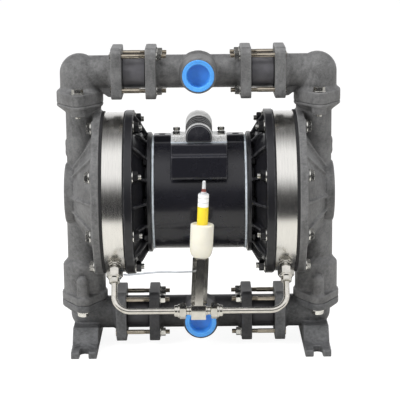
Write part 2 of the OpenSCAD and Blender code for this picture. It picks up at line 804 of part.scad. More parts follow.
// The upright column with its ball chamber, its two joint flanges and their bosses
module cap_column() {
    nose_z = cap_rise - cap_outlet_flange_t - nose_boss_h;
    nose_web = [column_r * 0.88, column_r * 1.28, nose_boss_h];
    inlet_web = [lower_boss_r * 1.6, joint_bolt_y - ball_chamber_r + 8, inlet_boss_h];
    translate([column_x, 0, 0]) {
        bar_z(0, cap_rise - 1, column_r);
        bar_z(-cap_drop + ball_chamber_h, 0, lower_column_r);
        bar_z(-cap_drop + 1, -cap_drop + ball_chamber_h, ball_chamber_r);
        translate([0, 0, -cap_drop + ball_chamber_h])
            cylinder(r1 = ball_chamber_r, r2 = lower_column_r, h = shoulder_h);
        joint_flange(-cap_drop, cap_inlet_flange_t);
        joint_flange(cap_rise - cap_outlet_flange_t, cap_outlet_flange_t);
        translate([0, 0, cap_rise - cap_outlet_flange_t - cap_outlet_slope_h])
            cylinder(r1 = column_r, r2 = joint_slope_r, h = cap_outlet_slope_h);
        for (y = sides) {
            translate([0, y * joint_bolt_y, 0]) bar_z(nose_z, cap_rise - 1, joint_nose_r - 2);
            translate([0, y * (joint_bolt_y - nose_web.y / 2), nose_z + nose_boss_h / 2])
                cube(nose_web, center = true);
            translate([0, y * (joint_bolt_y - inlet_web.y / 2), -cap_drop + inlet_boss_h / 2])
                cube(inlet_web, center = true);
            translate([0, y * joint_bolt_y, -cap_drop]) {
                bar_z(1, inlet_boss_h, lower_boss_r);
                translate([0, 0, inlet_boss_h]) sphere(r = lower_boss_r);
            }
        }
        for (z = ear_pad_heights) translate([0, 0, z]) bar_x(0, column_r + 2, ear_pad_r);
    }
}
// Walls that tie the column and the joint flanges to the rim
module cap_gussets() {
    root = rim_r - 61;
    foot_x = cap_x + 2;
    lower_run = 30;
    top_z = cap_rise - cap_outlet_flange_t;
    bottom_z = -cap_drop + cap_inlet_flange_t;
    rotate([90, 0, 0]) linear_extrude(upper_gusset_w, center = true) polygon([
        [foot_x, root], [column_x, root], [column_x, top_z], [column_x - joint_half_w + 4, top_z],
        [foot_x, sqrt(pow(rim_r, 2) - pow(upper_gusset_w / 2, 2)) - 1]
    ]);
    rotate([90, 0, 0]) linear_extrude(lower_gusset_w, center = true) polygon([
        [foot_x, -root], [column_x, -root], [column_x, bottom_z], [column_x - lower_run, bottom_z],
        [foot_x, -sqrt(pow(rim_r, 2) - pow(lower_gusset_w / 2, 2)) + 1]
    ]);
}
module cap_inside() {
    mouth_r = ring_bore - 1.5;
    turned_x([
        [0, cap_x - 1], [mouth_r, cap_x - 1], [mouth_r, cap_x + 2],
        [dome_foot_r - cap_wall, cap_rim_x - 2], [dome_face_r - cap_wall, dome_plate_x - 4],
        [0, dome_plate_x - 4]
    ]);
    translate([column_x, 0, 0]) {
        bar_z(-cap_drop + ball_stop_z + guide_t, cap_rise + 1, column_bore);
        bar_z(-cap_drop - 1, -cap_drop + seal_t + seat_t, pocket_r);
        difference() {
            bar_z(-cap_drop + 1, -cap_drop + ball_stop_z + guide_t + 1, ball_chamber_r - cap_wall);
            ball_guides(-cap_drop, ball_chamber_r - cap_wall + 1);
        }
    }
}
// Four guide ribs with a cross over the ball's highest place
module ball_guides(z0, r) {
    start = seal_t + seat_t + 6;
    difference() {
        for (a = [0, 90]) rotate([0, 0, a])
            translate([-r, -guide_t / 2, z0 + start])
                cube([2 * r, guide_t, ball_stop_z + guide_t + 2 - start]);
        bar_z(z0, z0 + ball_stop_z, ball_r + guide_gap);
    }
}
module fluid_cap() color("#5b5c5e") at_casing() difference() {
    cap_outside();
    cap_inside();
    at_casing_bolts() {
        bar_x(cap_x - 1, cap_rim_x + pad_t + 1, bolt_r + bolt_gap);
        bar_x(cap_rim_x + pad_t, cap_rim_x + pad_t + bolt_washer_t + bolt_head_h + 3, wrench_r);
    }
    translate([column_x, 0, 0]) {
        joint_holes(-cap_drop - 1, -cap_drop + inlet_tap_h);
        joint_holes(cap_rise - cap_outlet_flange_t - nose_boss_h - 1, cap_rise + 1);
        // Pockets that hold the upper joint nuts
        for (y = sides) translate([0, y * joint_bolt_y, cap_rise - cap_outlet_flange_t - nose_boss_h - 1])
            hexagon(bolt_flats + 3 * seat_gap, nut_pocket_h + 1);
    }
}
module fluid_cap_left() on_side(-1) fluid_cap();
module fluid_cap_right() on_side(1) fluid_cap();

// Diaphragms: a clamped rim, a rolled fold and a flat middle between the plates
module diaphragm(rim_x, rim_t, mid_x) {
    r0 = shaft_end_r + seat_gap;
    r1 = plate_r + 2;
    r2 = ring_bore - 2;
    r3 = rim_r - 1.5;
    fold_r = (plate_r + ring_bore) / 2;
    fold_x = mid_x + 6;
    at_casing() difference() {
        turned_x([
            [r0, mid_x], [r1, mid_x], [fold_r, fold_x], [r2, rim_x],
            [r3, rim_x], [r3, rim_x + rim_t], [r2, rim_x + rim_t],
            [fold_r, fold_x + diaphragm_t], [r1, mid_x + diaphragm_t], [r0, mid_x + diaphragm_t]
        ]);
        at_casing_bolts() bar_x(rim_x - 1, rim_x + rim_t + 1, bolt_r + bolt_gap);
    }
}
air_mid_x = air_rim_x - 2;
fluid_mid_x = fluid_bead_x;
module air_diaphragm() color("#1c1c1e") diaphragm(air_rim_x, air_bead_t, air_mid_x);
module fluid_diaphragm() color("#1c1c1e") diaphragm(fluid_bead_x, fluid_bead_t, fluid_mid_x);
module air_diaphragm_left() on_side(-1) air_diaphragm();
module air_diaphragm_right() on_side(1) air_diaphragm();
module fluid_diaphragm_left() on_side(-1) fluid_diaphragm();
module fluid_diaphragm_right() on_side(1) fluid_diaphragm();

// Plates and shaft
inner_plate_x = air_mid_x - plate_t;
outer_plate_x = fluid_mid_x + diaphragm_t;
plate_bore = shaft_end_r + thread_gap;
plate_edge = 4;
coupling_rim_t = 5;
coupling_hub_r = 28;
coupling_x = air_mid_x + diaphragm_t;
outer_end_x = outer_plate_x + plate_t;
outer_hub_r = 20;
outer_hub_h = 6;
module inner_plates() color("#9a9c9f") at_casing() both_sides()
    turned_x([
        [plate_bore, inner_plate_x], [plate_r - plate_edge, inner_plate_x],
        [plate_r, inner_plate_x + plate_edge], [plate_r, air_mid_x], [plate_bore, air_mid_x]
    ]);
module coupling_plates() color("#9a9c9f") at_casing() both_sides()
    turned_x([
        [plate_bore, coupling_x], [plate_r, coupling_x], [plate_r, coupling_x + coupling_rim_t],
        [coupling_hub_r, coupling_x + 2 * coupling_rim_t], [coupling_hub_r, fluid_mid_x - 2 * coupling_rim_t],
        [plate_r, fluid_mid_x - coupling_rim_t], [plate_r, fluid_mid_x], [plate_bore, fluid_mid_x]
    ]);
module outer_plates() color("#55565a") at_casing() both_sides()
    turned_x([
        [plate_bore, outer_plate_x], [plate_r, outer_plate_x], [plate_r - plate_edge, outer_end_x],
        [outer_hub_r, outer_end_x], [outer_hub_r - 2, outer_end_x + outer_hub_h],
        [0, outer_end_x + outer_hub_h], [0, outer_end_x], [plate_bore, outer_end_x]
    ]);
module main_shaft() color("#c8c8c6") at_casing() {
    bar_x(-inner_plate_x, inner_plate_x, shaft_r);
    both_sides() bar_x(inner_plate_x - 1, outer_end_x, shaft_end_r);
}
module shaft_bushes() color("#b08d57") at_casing() both_sides()
    ring_along_x(body_half - bush_l, body_half, bush_r, shaft_r + shaft_gap);
module shaft_seals() color("#1c1c1e") at_casing() both_sides()
    ring_along_x(air_x, air_x + shaft_seal_l, shaft_seal_r, shaft_r + shaft_gap);
pilot_end_x = inner_plate_x - stroke - pilot_travel - 0.3;
module pilot_rod() color("#c8c8c6") at_casing() at_pilot() bar_x(-pilot_end_x, pilot_end_x, pilot_r);

// Elbows
module clamp_flange(x0) {
    translate([x0, 0, 0]) rotate([90, 0, 90]) linear_extrude(clamp_t)
        rounded_plate(clamp_w, clamp_w, clamp_corner);
}
module tie_holes(x0, x1) {
    for (y = sides, z = sides) translate([0, y * tie_offset, z * tie_offset])
        bar_x(x0, x1, tie_r + bolt_gap);
}
// A tapered fillet where a tube leaves its clamp flange
module flange_fillet(x0, direction) {
    run = 6;
    rise = 4;
    turned_x([
        [tube_r - 1, x0 + direction * run], [tube_r, x0 + direction * run],
        [tube_r + rise, x0 + direction * 0.5], [tube_r + rise, x0], [tube_r - 1, x0]
    ]);
}
// Room for a spanner on the tie bolt heads
module tie_head_room() {
    for (y = sides, z = sides) translate([0, y * tie_offset, z * tie_offset])
        bar_x(tie_head_x, clamp_face_x + tie_wrench_l, tie_wrench_r);
}
// The web under an upper elbow's tube, from its clamp flange to its joint flange
module upper_web() {
    clamp_low = -clamp_w / 2 + 1;
    joint_top = -outlet_rise + outlet_flange_t;
    inner_x = outer_clamp_x + 2;
    leg_x = column_x - outlet_leg_r * 0.6;
    rotate([90, 0, 0]) linear_extrude(2 * web_half, center = true) polygon([
        [inner_x, 0], [inner_x, clamp_low], [clamp_face_x + 6, clamp_low],
        [column_x - joint_half_w + 6, joint_top], [leg_x, joint_top], [leg_x, 0]
    ]);
}
module upper_elbow() color("#58595b") difference() {
    union() {
        translate([0, 0, discharge_z]) {
            bar_x(outer_clamp_x, column_x, tube_r);
            clamp_flange(outer_clamp_x);
            flange_fillet(clamp_face_x, 1);
        }
        translate([column_x, 0, 0]) {
            bar_z(discharge_joint_z + 1, discharge_z - 1, outlet_leg_r);
            translate([0, 0, discharge_z - 1]) sphere(r = outlet_leg_r);
            joint_flange(discharge_joint_z, outlet_flange_t);
            translate([0, 0, discharge_joint_z + outlet_flange_t])
                cylinder(r1 = joint_slope_r, r2 = outlet_leg_r, h = leg_slope_h);
        }
        translate([0, 0, discharge_z]) upper_web();
    }
    translate([0, 0, discharge_z]) {
        bar_x(outer_clamp_x - 1, column_x, tube_bore);
        tie_holes(outer_clamp_x - 1, clamp_face_x);
        tie_head_room();
    }
    translate([column_x, 0, 0]) {
        bar_z(discharge_joint_z - 1, discharge_joint_z + seal_t + seat_t, pocket_r);
        difference() {
            union() {
                bar_z(discharge_joint_z, discharge_z - 1, outlet_leg_bore);
                translate([0, 0, discharge_z - 1]) sphere(r = outlet_leg_bore);
            }
            outlet_ball_guides();
        }
        joint_holes(discharge_joint_z - 1, discharge_joint_z + outlet_flange_t + 1);
        for (y = sides) translate([0, y * joint_bolt_y, discharge_joint_z + outlet_flange_t])
            bar_z(0, joint_head_room, joint_head_r);
    }
}
// Three guide ribs below the tube's bore, and a stop pin that hangs from the dome
module outlet_ball_guides() {
    start = discharge_joint_z + seal_t + seat_t + 5;
    top = discharge_z - tube_bore - 2;
    difference() {
        for (a = [0, 120, 240]) rotate([0, 0, a])
            translate([0, -guide_t / 2, start]) cube([outlet_leg_bore + 1, guide_t, top - start]);
        bar_z(discharge_joint_z, discharge_z, ball_r + guide_gap);
    }
    bar_z(discharge_joint_z + ball_stop_z, discharge_z + outlet_leg_r - 5, guide_t);
}
module upper_elbow_left() on_side(-1) upper_elbow();
module upper_elbow_right() on_side(1) upper_elbow();

// An open-ended slot from the round end at slot_end_y out past the foot's tip
module foot_slot(r, z0, h) {
    run = 40;
    translate([0, slot_end_y, z0]) cylinder(r = r, h = h);
    translate([-r, slot_end_y, z0]) cube([2 * r, run, h]);
}
module foot(y_dir) mirror([0, y_dir < 0 ? 1 : 0, 0]) difference() {
    tip_edge = 2;
    hollow_y = [foot_reach * 0.17, foot_reach * 0.48];
    rotate([90, 0, 90]) translate([0, 0, -foot_w / 2]) linear_extrude(foot_w) polygon([
        [0, 0], [foot_reach, 0], [foot_reach, foot_seat_t - tip_edge],
        [foot_reach - tip_edge, foot_seat_t], [foot_toe_y, foot_seat_t + 1.5 * tip_edge],
        [foot_crest_y, foot_top_z], [0, foot_top_z]
    ]);
    foot_slot(slot_clear_r, foot_seat_t, foot_top_z);
    foot_slot(slot_w / 2, -1, foot_seat_t + 2);
    // The hollow under the foot's bridge
    rotate([90, 0, 90]) translate([0, 0, -foot_w / 2 + foot_wall]) linear_extrude(foot_w - 2 * foot_wall)
        polygon([
            [hollow_y[0], -1], [hollow_y[1], -1],
            [hollow_y[1], foot_hollow_h - 2], [hollow_y[0], foot_hollow_h]
        ]);
}
module lower_elbow() color("#4b4c4f") difference() {
    union() {
        translate([0, 0, suction_z]) {
            bar_x(outer_clamp_x, foot_x, tube_r);
            clamp_flange(outer_clamp_x);
            flange_fillet(clamp_face_x, 1);
        }
        translate([column_x, 0, 0]) {
            joint_flange(suction_joint_z - inlet_flange_t, inlet_flange_t);
            translate([0, 0, suction_joint_z - inlet_flange_t - 2 * leg_slope_h])
                cylinder(r1 = inlet_leg_r, r2 = joint_half_w - 1, h = 2 * leg_slope_h);
        }
        translate([foot_x, 0, 0]) {
            translate([0, 0, suction_z]) sphere(r = tube_r);
            bar_z(suction_z, suction_joint_z - 1, inlet_leg_r);
            foot(1);
            foot(-1);
        }
    }
    translate([0, 0, suction_z]) {
        bar_x(outer_clamp_x - 1, foot_x, tube_bore);
        translate([foot_x, 0, 0]) sphere(r = tube_bore);
        tie_holes(outer_clamp_x - 1, clamp_face_x);
        tie_head_room();
    }
    translate([column_x, 0, 0]) {
        bar_z(suction_z, suction_joint_z + 1, seat_bore);
        joint_holes(suction_joint_z - inlet_flange_t - joint_head_room, suction_joint_z + 1);
        for (y = sides) translate([0, y * joint_bolt_y, suction_joint_z - inlet_flange_t - joint_head_room])
            bar_z(0, joint_head_room, joint_head_r);
        // The tube's crown is cut level with the joint
        translate([0, 0, suction_joint_z]) linear_extrude(tube_r) joint_outline(1);
    }
}
module lower_elbow_left() on_side(-1) lower_elbow();
module lower_elbow_right() on_side(1) lower_elbow();

// Tees, spacers and their fasteners
module tee() difference() {
    root_y = port_reach - 8;
    union() {
        bar_x(-tee_half, tee_half, tube_r);
        both_sides() {
            clamp_flange(tie_nut_x);
            flange_fillet(tie_nut_x, -1);
        }
        translate([0, -port_reach, 0]) rotate([-90, 0, 0]) rotate_extrude() polygon([
            [0, 0], [port_r - 1, 0], [port_r, 1], [port_root_r, port_reach - tube_r + 4],
            [port_root_r + 4, root_y], [0, root_y]
        ]);
    }
    bar_x(-tee_half - 1, tee_half + 1, tube_bore);
    bar_y(-port_reach, 0, tube_bore);
    bar_y(-port_reach - 1, -port_reach + port_depth, port_bore);
    both_sides() tie_holes(tie_nut_x - 1, tee_half + 1);
}
module discharge_tee() color("#4f5053") translate([0, 0, discharge_z]) tee();
module suction_tee() color("#454648") translate([0, 0, suction_z]) tee();
module spacers() both_sides() ring_along_x(spacer_x0, spacer_x1, tube_r, tube_bore);
module discharge_spacers() color("#3c3a41") translate([0, 0, discharge_z]) spacers();
module suction_spacers() color("#3c3a41") translate([0, 0, suction_z]) spacers();
module manifold_seals() color("#1c1c1e") for (z = [suction_z, discharge_z])
    translate([0, 0, z]) both_sides() {
        ring_along_x(tee_half, spacer_x0, tube_r - 0.5, tube_bore);
        ring_along_x(spacer_x1, outer_clamp_x, tube_r - 0.5, tube_bore);
    }
module at_ties() {
    for (z0 = [suction_z, discharge_z]) translate([0, 0, z0]) both_sides()
        for (y = sides, z = sides) translate([0, y * tie_offset, z * tie_offset]) children();
}
module tie_bolts() color("#b9a890") at_ties()
    translate([tie_head_x + tie_washer_t, 0, 0])
        bolt_x(tie_r, tie_flats, tie_head_h,
            tie_head_x - tie_nut_x + 2 * tie_washer_t + tie_nut_h + thread_out);
module tie_nuts() color("#8e8f92") at_ties()
    translate([tie_nut_x - tie_washer_t - tie_nut_h, 0, 0]) nut_x(tie_r, tie_flats, tie_nut_h);
module at_joint_bolts() {
    both_sides() for (y = sides) translate([column_x, y * joint_bolt_y, 0]) children();
}
upper_head_z = discharge_joint_z + outlet_flange_t + bolt_washer_t;
upper_nut_z = discharge_joint_z - cap_outlet_flange_t - nose_boss_h + nut_pocket_h;
lower_head_z = suction_joint_z - inlet_flange_t - bolt_washer_t;
module joint_bolts() color("#d0d0ce") at_joint_bolts() {
    translate([0, 0, upper_head_z]) hexagon(bolt_flats, bolt_head_h);
    bar_z(upper_nut_z - bolt_nut_h - thread_out / 2, upper_head_z + 0.01, bolt_r);
    translate([0, 0, lower_head_z - bolt_head_h]) hexagon(bolt_flats, bolt_head_h);
    bar_z(lower_head_z - 0.01, suction_joint_z + inlet_tap_h - 4, bolt_r);
}
module joint_nuts() color("#8e8f92") at_joint_bolts()
    translate([0, 0, upper_nut_z - bolt_nut_h]) difference() {
        hexagon(bolt_flats, bolt_nut_h);
        bar_z(-1, bolt_nut_h + 1, bolt_r + thread_gap);
    }
casing_head_x = cap_rim_x + pad_t + bolt_washer_t;
casing_nut_x = nut_face_x - bolt_washer_t - bolt_nut_h;
module casing_bolts() color("#d8d8d6") at_casing() both_sides() at_casing_bolts(casing_head_x)
    bolt_x(bolt_r, bolt_flats, bolt_head_h, casing_head_x - casing_nut_x + thread_out - 2);
module casing_nuts() color("#4a4b4e") at_casing() both_sides() at_casing_bolts(casing_nut_x)
    nut_x(bolt_r, bolt_flats, bolt_nut_h);
module washers() color("#b0b0ae") {
    for (x = [tie_head_x, tie_nut_x - tie_washer_t])
        at_ties() translate([x, 0, 0]) washer_x(tie_r, tie_washer_r, tie_washer_t);
    for (x = [cap_rim_x + pad_t, nut_face_x - bolt_washer_t])
        at_casing() both_sides() at_casing_bolts(x) washer_x(bolt_r, bolt_washer_r, bolt_washer_t);
    for (z = [upper_head_z - bolt_washer_t, lower_head_z])
        at_joint_bolts() translate([0, 0, z]) rotate([0, -90, 0])
            washer_x(bolt_r, bolt_washer_r, bolt_washer_t);
}

// Ball valves
module ball_at(side, joint_z) {
    translate([side * column_x, 0, joint_z + ball_z]) sphere(r = ball_r);
}
module suction_ball_left() color("#e8e4da") ball_at(-1, suction_joint_z);
module suction_ball_right() color("#e8e4da") ball_at(1, suction_joint_z);
module discharge_ball_left() color("#e8e4da") ball_at(-1, discharge_joint_z);
module discharge_ball_right() color("#e8e4da") ball_at(1, discharge_joint_z);
module at_joints() {
    for (x = sides, z = [suction_joint_z, discharge_joint_z]) translate([x * column_x, 0, z]) children();
}
module ball_seats() color("#d9d6cc") at_joints() translate([0, 0, seal_t]) difference() {
    cylinder(r = seat_r, h = seat_t);
    bar_z(-1, seat_t + 1, seat_bore);
}
module seat_seals() color("#1c1c1e") at_joints() difference() {
    cylinder(r = seat_r, h = seal_t);
    bar_z(-1, seal_t + 1, seat_bore + seal_inset);
}

// Port plugs: a lip on the port's face and a hollow cup in its bore
module port_plug() difference() {
    land_l = 8;
    floor_t = 2.5;
    translate([0, -port_reach - plug_lip_t, 0]) rotate([-90, 0, 0]) rotate_extrude() polygon([
        [0, 0], [plug_lip_r - 1, 0], [plug_lip_r, 1], [plug_lip_r, plug_lip_t],
        [port_bore - plug_gap, plug_lip_t], [port_bore - plug_gap, plug_lip_t + land_l],
        [port_bore - 1, plug_lip_t + plug_depth], [0, plug_lip_t + plug_depth]
    ]);
    bar_y(-port_reach - plug_lip_t - 1, -port_reach + plug_depth - floor_t, plug_hollow_r);
}
module discharge_plug() color("#4a9be8") translate([0, 0, discharge_z]) port_plug();
module suction_plug() color("#4a9be8") translate([0, 0, suction_z]) port_plug();

// Air valve
module at_valve_screws() {
    for (x = sides, y = [valve_screw_y, valve_screw_rear_y]) translate([x * valve_screw_x, -y, 0]) children();
}
module valve_body() color("#b9babb") difference() {
    rear_edge = 3;
    ribs_y = -barrel_front + barrel_collar_l + barrel_rib_depth;
    smooth_y = ribs_y + barrel_ribs_n * barrel_rib_pitch - barrel_rib_depth;
    rib_r = barrel_r - 0.5;
    union() {
        translate([-seat_half_w + 0.5, -barrel_front, valve_z])
            cube([2 * seat_half_w - 1, barrel_front - valve_flange_rear, valve_flange_t]);
        translate([0, 0, barrel_z]) {
            bar_y(-barrel_front, -barrel_front + barrel_collar_l, barrel_r);
            bar_y(-barrel_front + 1, smooth_y + 1, rib_r - barrel_rib_depth);
            for (i = [0 : barrel_ribs_n - 1]) translate([0, ribs_y + i * barrel_rib_pitch, 0])
                bar_y(0, barrel_rib_w, rib_r);
            bar_y(smooth_y, barrel_rear - rear_edge, barrel_r);
            translate([0, barrel_rear - rear_edge, 0]) rotate([-90, 0, 0])
                cylinder(r1 = barrel_r, r2 = barrel_r - rear_edge, h = rear_edge);
        }
    }
    // The barrel is cut level with the flange's underside
    translate([-barrel_r, -barrel_front - 1, valve_z - barrel_r])
        cube([2 * barrel_r, barrel_front + barrel_rear + 2, barrel_r]);
    translate([0, 0, barrel_z]) bar_y(-barrel_front - 1, barrel_rear + 1, spool_bore);
    at_valve_screws() bar_z(valve_z - 1, valve_z + valve_flange_t + 1, valve_screw_r + bolt_gap);
}
module valve_gasket() color("#c9d4dd") difference() {
    strip_half = barrel_r * 0.9;
    union() {
        translate([-seat_half_w, -barrel_front - 1, seat_z])
            cube([2 * seat_half_w, barrel_front + 1 - valve_flange_rear, valve_gasket_t]);
        translate([-strip_half, -valve_flange_rear - 1, seat_z])
            cube([2 * strip_half, valve_flange_rear + 1 + seat_rear, valve_gasket_t]);
    }
    at_valve_screws() bar_z(seat_z - 1, seat_z + valve_gasket_t + 1, valve_screw_r + bolt_gap);
}
module valve_end_cap() color("#232326") translate([0, 0, barrel_z]) difference() {
    union() {
        bar_y(-barrel_front - end_cap_t, -barrel_front, end_cap_r);
        bar_y(-barrel_front - 1, -barrel_front + end_cap_plug, spool_bore - spool_gap);
    }
    // The cap's foot is flat, just above the gasket
    translate([-end_cap_r, -barrel_front - end_cap_t - 1, -barrel_rise - end_cap_r])
        cube([2 * end_cap_r, end_cap_t + 1, end_cap_r + seat_gap]);
}
module valve_screws() color("#c8c8c6") for (x = sides, y = [valve_screw_y, valve_screw_rear_y]) {
    lift = y < valve_screw_y ? valve_post_h : 0;
    translate([x * valve_screw_x, -y, valve_z + valve_flange_t]) {
        cylinder(r = valve_foot_r, h = valve_foot_t);
        bar_z(-valve_flange_t - valve_gasket_t - valve_screw_grip, valve_foot_t + 0.5, valve_screw_r);
        bar_z(valve_foot_t - 0.5, valve_foot_t + lift + 0.5, valve_post_r);
        translate([0, 0, valve_foot_t + lift]) hexagon(valve_head_flats, valve_head_h);
    }
}
module valve_spool() color("#9a9c9f") translate([0, 0, barrel_z]) difference() {
    groove_l = 14;
    bar_y(spool_start, spool_start + spool_l, spool_bore - spool_gap);
    for (i = [0 : 2]) translate([0, spool_start + groove_l + i * spool_l * 0.27, 0])
        ring_along_y(0, groove_l, spool_bore + 2, spool_bore * 0.55);
}
module muffler() color("#b4b5b4") translate([0, 0, barrel_z]) difference() {
    union() {
        bar_y(barrel_rear - muffler_stub_l, barrel_rear + 1, spool_bore - plug_gap);
        translate([0, barrel_rear, -muffler_drop]) rotate([-90, 0, 0]) rotate_extrude() polygon([
            [0, 0], [muffler_r, 0], [muffler_r, muffler_l - 8], [muffler_r - 5, muffler_l - 1.5],
            [muffler_r - 9, muffler_l], [0, muffler_l]
        ]);
    }
    bar_y(barrel_rear - muffler_stub_l - 1, barrel_rear + muffler_l / 2, spool_bore - 2.5);
}

// Leak detector
module at_fitting() {
    at_casing() both_sides() translate([ring_mid_x, 0, 0]) rotate([fitting_angle, 0, 0]) children();
}
module ring_fittings() color("#cfcfcd") at_fitting() difference() {
    union() {
        bar_y(-nut_r0, -ring_r + 2, collar_r);
        bar_y(-nut_r0 - spigot_l, -nut_r0 + 1, spigot_r);
    }
    bar_x(-ring_w, ring_w, ring_r + plug_gap);
    bar_y(-nut_r0 - spigot_l - 1, -ring_r + 1, drain_r - drain_wall);
}
module drain_nut(length) difference() {
    union() {
        rotate([-90, 0, 0]) hexagon(tube_nut_flats, length * 0.55);
        translate([0, length * 0.54, 0]) rotate([-90, 0, 0])
            cylinder(r1 = tube_nut_flats / 2, r2 = tube_nut_flats / 2 - 3, h = length * 0.46);
    }
    bar_y(-1, length + 1, drain_r + thread_gap);
}
module tube_nuts() color("#c4c4c2") {
    at_fitting() difference() {
        translate([0, -nut_r0, 0]) mirror([0, 1, 0]) drain_nut(tube_nut_l);
        bar_y(-nut_r0 - spigot_l - seat_gap, -nut_r0 + 1, spigot_r + thread_gap);
    }
    for (side = sides) on_side(side) translate([side_nut_x + side * detector_x, drain_y, drain_z])
        rotate([0, 0, -90]) drain_nut(side_nut_l);
}
// One drain tube, with its inner end moved outwards by a shift
module drain_tube(shift) color("#d4d2cc") {
    bend_r = nut_r0 + spigot_l + 2 * seat_gap;
    straight_end = drain_reach - drain_bend;
    translate([0, 0, casing_z]) rotate([fitting_angle, 0, 0]) {
        translate([ring_mid_x, 0, 0]) difference() {
            bar_y(-straight_end, -bend_r, drain_r);
            bar_y(-straight_end - 1, -bend_r + 1, drain_r - drain_wall);
        }
        translate([ring_mid_x - drain_bend, -straight_end, 0]) rotate([0, 0, -90])
            rotate_extrude(angle = 90) translate([drain_bend, 0]) difference() {
                circle(r = drain_r, $fn = 48);
                circle(r = drain_r - drain_wall, $fn = 48);
            }
        translate([0, -drain_reach, 0]) difference() {
            bar_x(side_nut_x + shift + 1, ring_mid_x - drain_bend, drain_r);
            bar_x(side_nut_x + shift, ring_mid_x - drain_bend + 1, drain_r - drain_wall);
        }
    }
}
module drain_tube_left() on_side(-1) drain_tube(-detector_x);
module drain_tube_right() on_side(1) drain_tube(detector_x);
module detector_column() color("#b9b7b1") translate([detector_x, drain_y, drain_z]) difference() {
    union() {
        cube([block_w, block_w, block_w], center = true);
        bar_x(-side_nut_x, side_nut_x, spigot_r);
        rotate([0, sensor_lean, 0]) hexagon(hex_flats, block_w / 2 + hex_h);
    }
    bar_x(-side_nut_x - 1, side_nut_x + 1, drain_r - drain_wall);
    rotate([0, sensor_lean, 0]) bar_z(0, block_w / 2 + hex_h + 1, sensor_passage_r);
}
// A place on the leaning column, at a height above the drain line
module at_sensor(rise) {
    translate([detector_x, drain_y, drain_z]) rotate([0, sensor_lean, 0]) translate([0, 0, rise]) children();
}
module sensor_holder() color("#ece9dc") at_sensor(detector_top) difference() {
    foot_h = 1;
    edge = 0.8;
    rotate_extrude() polygon(concat(
        [[0, 0], [holder_foot_r, 0]],
        [for (a = [0 : 15 : 90]) [
            holder_foot_r + (holder_r - holder_foot_r) * sin(a),
            foot_h + holder_shoulder_h * (1 - cos(a))
        ]],
        [[holder_r, holder_h - edge], [holder_r - edge, holder_h], [0, holder_h]]
    ));
    bar_z(sensor_socket_h, holder_h + 1, sensor_r + thread_gap);
}
module sensor() color("#f2e21c") at_sensor(detector_top + sensor_socket_h)
    cylinder(r = sensor_r, h = holder_h + sensor_h - sensor_socket_h);
module sensor_band() color("#f2f2f0") at_sensor(band_rise) cylinder(r = sensor_r, h = band_h);
module sensor_gland() color("#c9cbcd") at_sensor(gland_rise) {
    collar_t = 3;
    cylinder(r = gland_r + 0.8, h = collar_t);
    translate([0, 0, collar_t - 0.1]) cylinder(r1 = gland_r, r2 = gland_r * 0.72, h = gland_h - collar_t);
}

// The bonding wire is one swept tube with a ring of points at each stop of its route
function wire_dir(i) = let (
    a = wire_points[max(i - 1, 0)],
    b = wire_points[min(i + 1, len(wire_points) - 1)]
) (b - a) / norm(b - a);
module bonding_wire() color("#c3c5c7") {
    sides_n = 8;
    count = len(wire_points);
    ring_points = [for (i = [0 : count - 1]) let (
        d = wire_dir(i),
        u = cross(d, [0, 0, 1]) / norm(cross(d, [0, 0, 1])),
        v = cross(u, d)
    ) for (j = [0 : sides_n - 1], a = j * 360 / sides_n) wire_points[i] + wire_r * (cos(a) * u + sin(a) * v)];
    walls = [for (i = [0 : count - 2], j = [0 : sides_n - 1]) [
        i * sides_n + j, (i + 1) * sides_n + j,
        (i + 1) * sides_n + (j + 1) % sides_n, i * sides_n + (j + 1) % sides_n
    ]];
    polyhedron(points = ring_points, faces = concat(
        walls,
        [[for (j = [0 : sides_n - 1]) j]],
        [[for (j = [sides_n - 1 : -1 : 0]) (count - 1) * sides_n + j]]
    ));
}

centre_body();
centre_gaskets();
air_cap_left();
air_cap_right();
air_cap_screws();
containment_ring_left();
containment_ring_right();
fluid_cap_left();
fluid_cap_right();
fluid_diaphragm_left();
fluid_diaphragm_right();
air_diaphragm_left();
air_diaphragm_right();
inner_plates();
coupling_plates();
outer_plates();
main_shaft();
shaft_bushes();
shaft_seals();
upper_elbow_left();
upper_elbow_right();
lower_elbow_left();
lower_elbow_right();
discharge_tee();
suction_tee();
discharge_spacers();
suction_spacers();
manifold_seals();
tie_bolts();
tie_nuts();
joint_bolts();
joint_nuts();
casing_bolts();
casing_nuts();
washers();
suction_ball_left();
suction_ball_right();
discharge_ball_left();
discharge_ball_right();
ball_seats();
seat_seals();
discharge_plug();
suction_plug();
valve_body();
valve_gasket();
valve_end_cap();
valve_screws();
valve_spool();
pilot_rod();
muffler();
ring_fittings();
tube_nuts();
drain_tube_left();
drain_tube_right();
detector_column();
sensor_holder();
sensor();
sensor_band();
sensor_gland();
bonding_wire();
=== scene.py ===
"""The looks of an air-operated double-diaphragm pump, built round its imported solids."""
import json
from math import atan2, cos, pi, radians, sin, sqrt, tan

import bmesh
import bpy
import numpy as np
from mathutils import Matrix, Vector

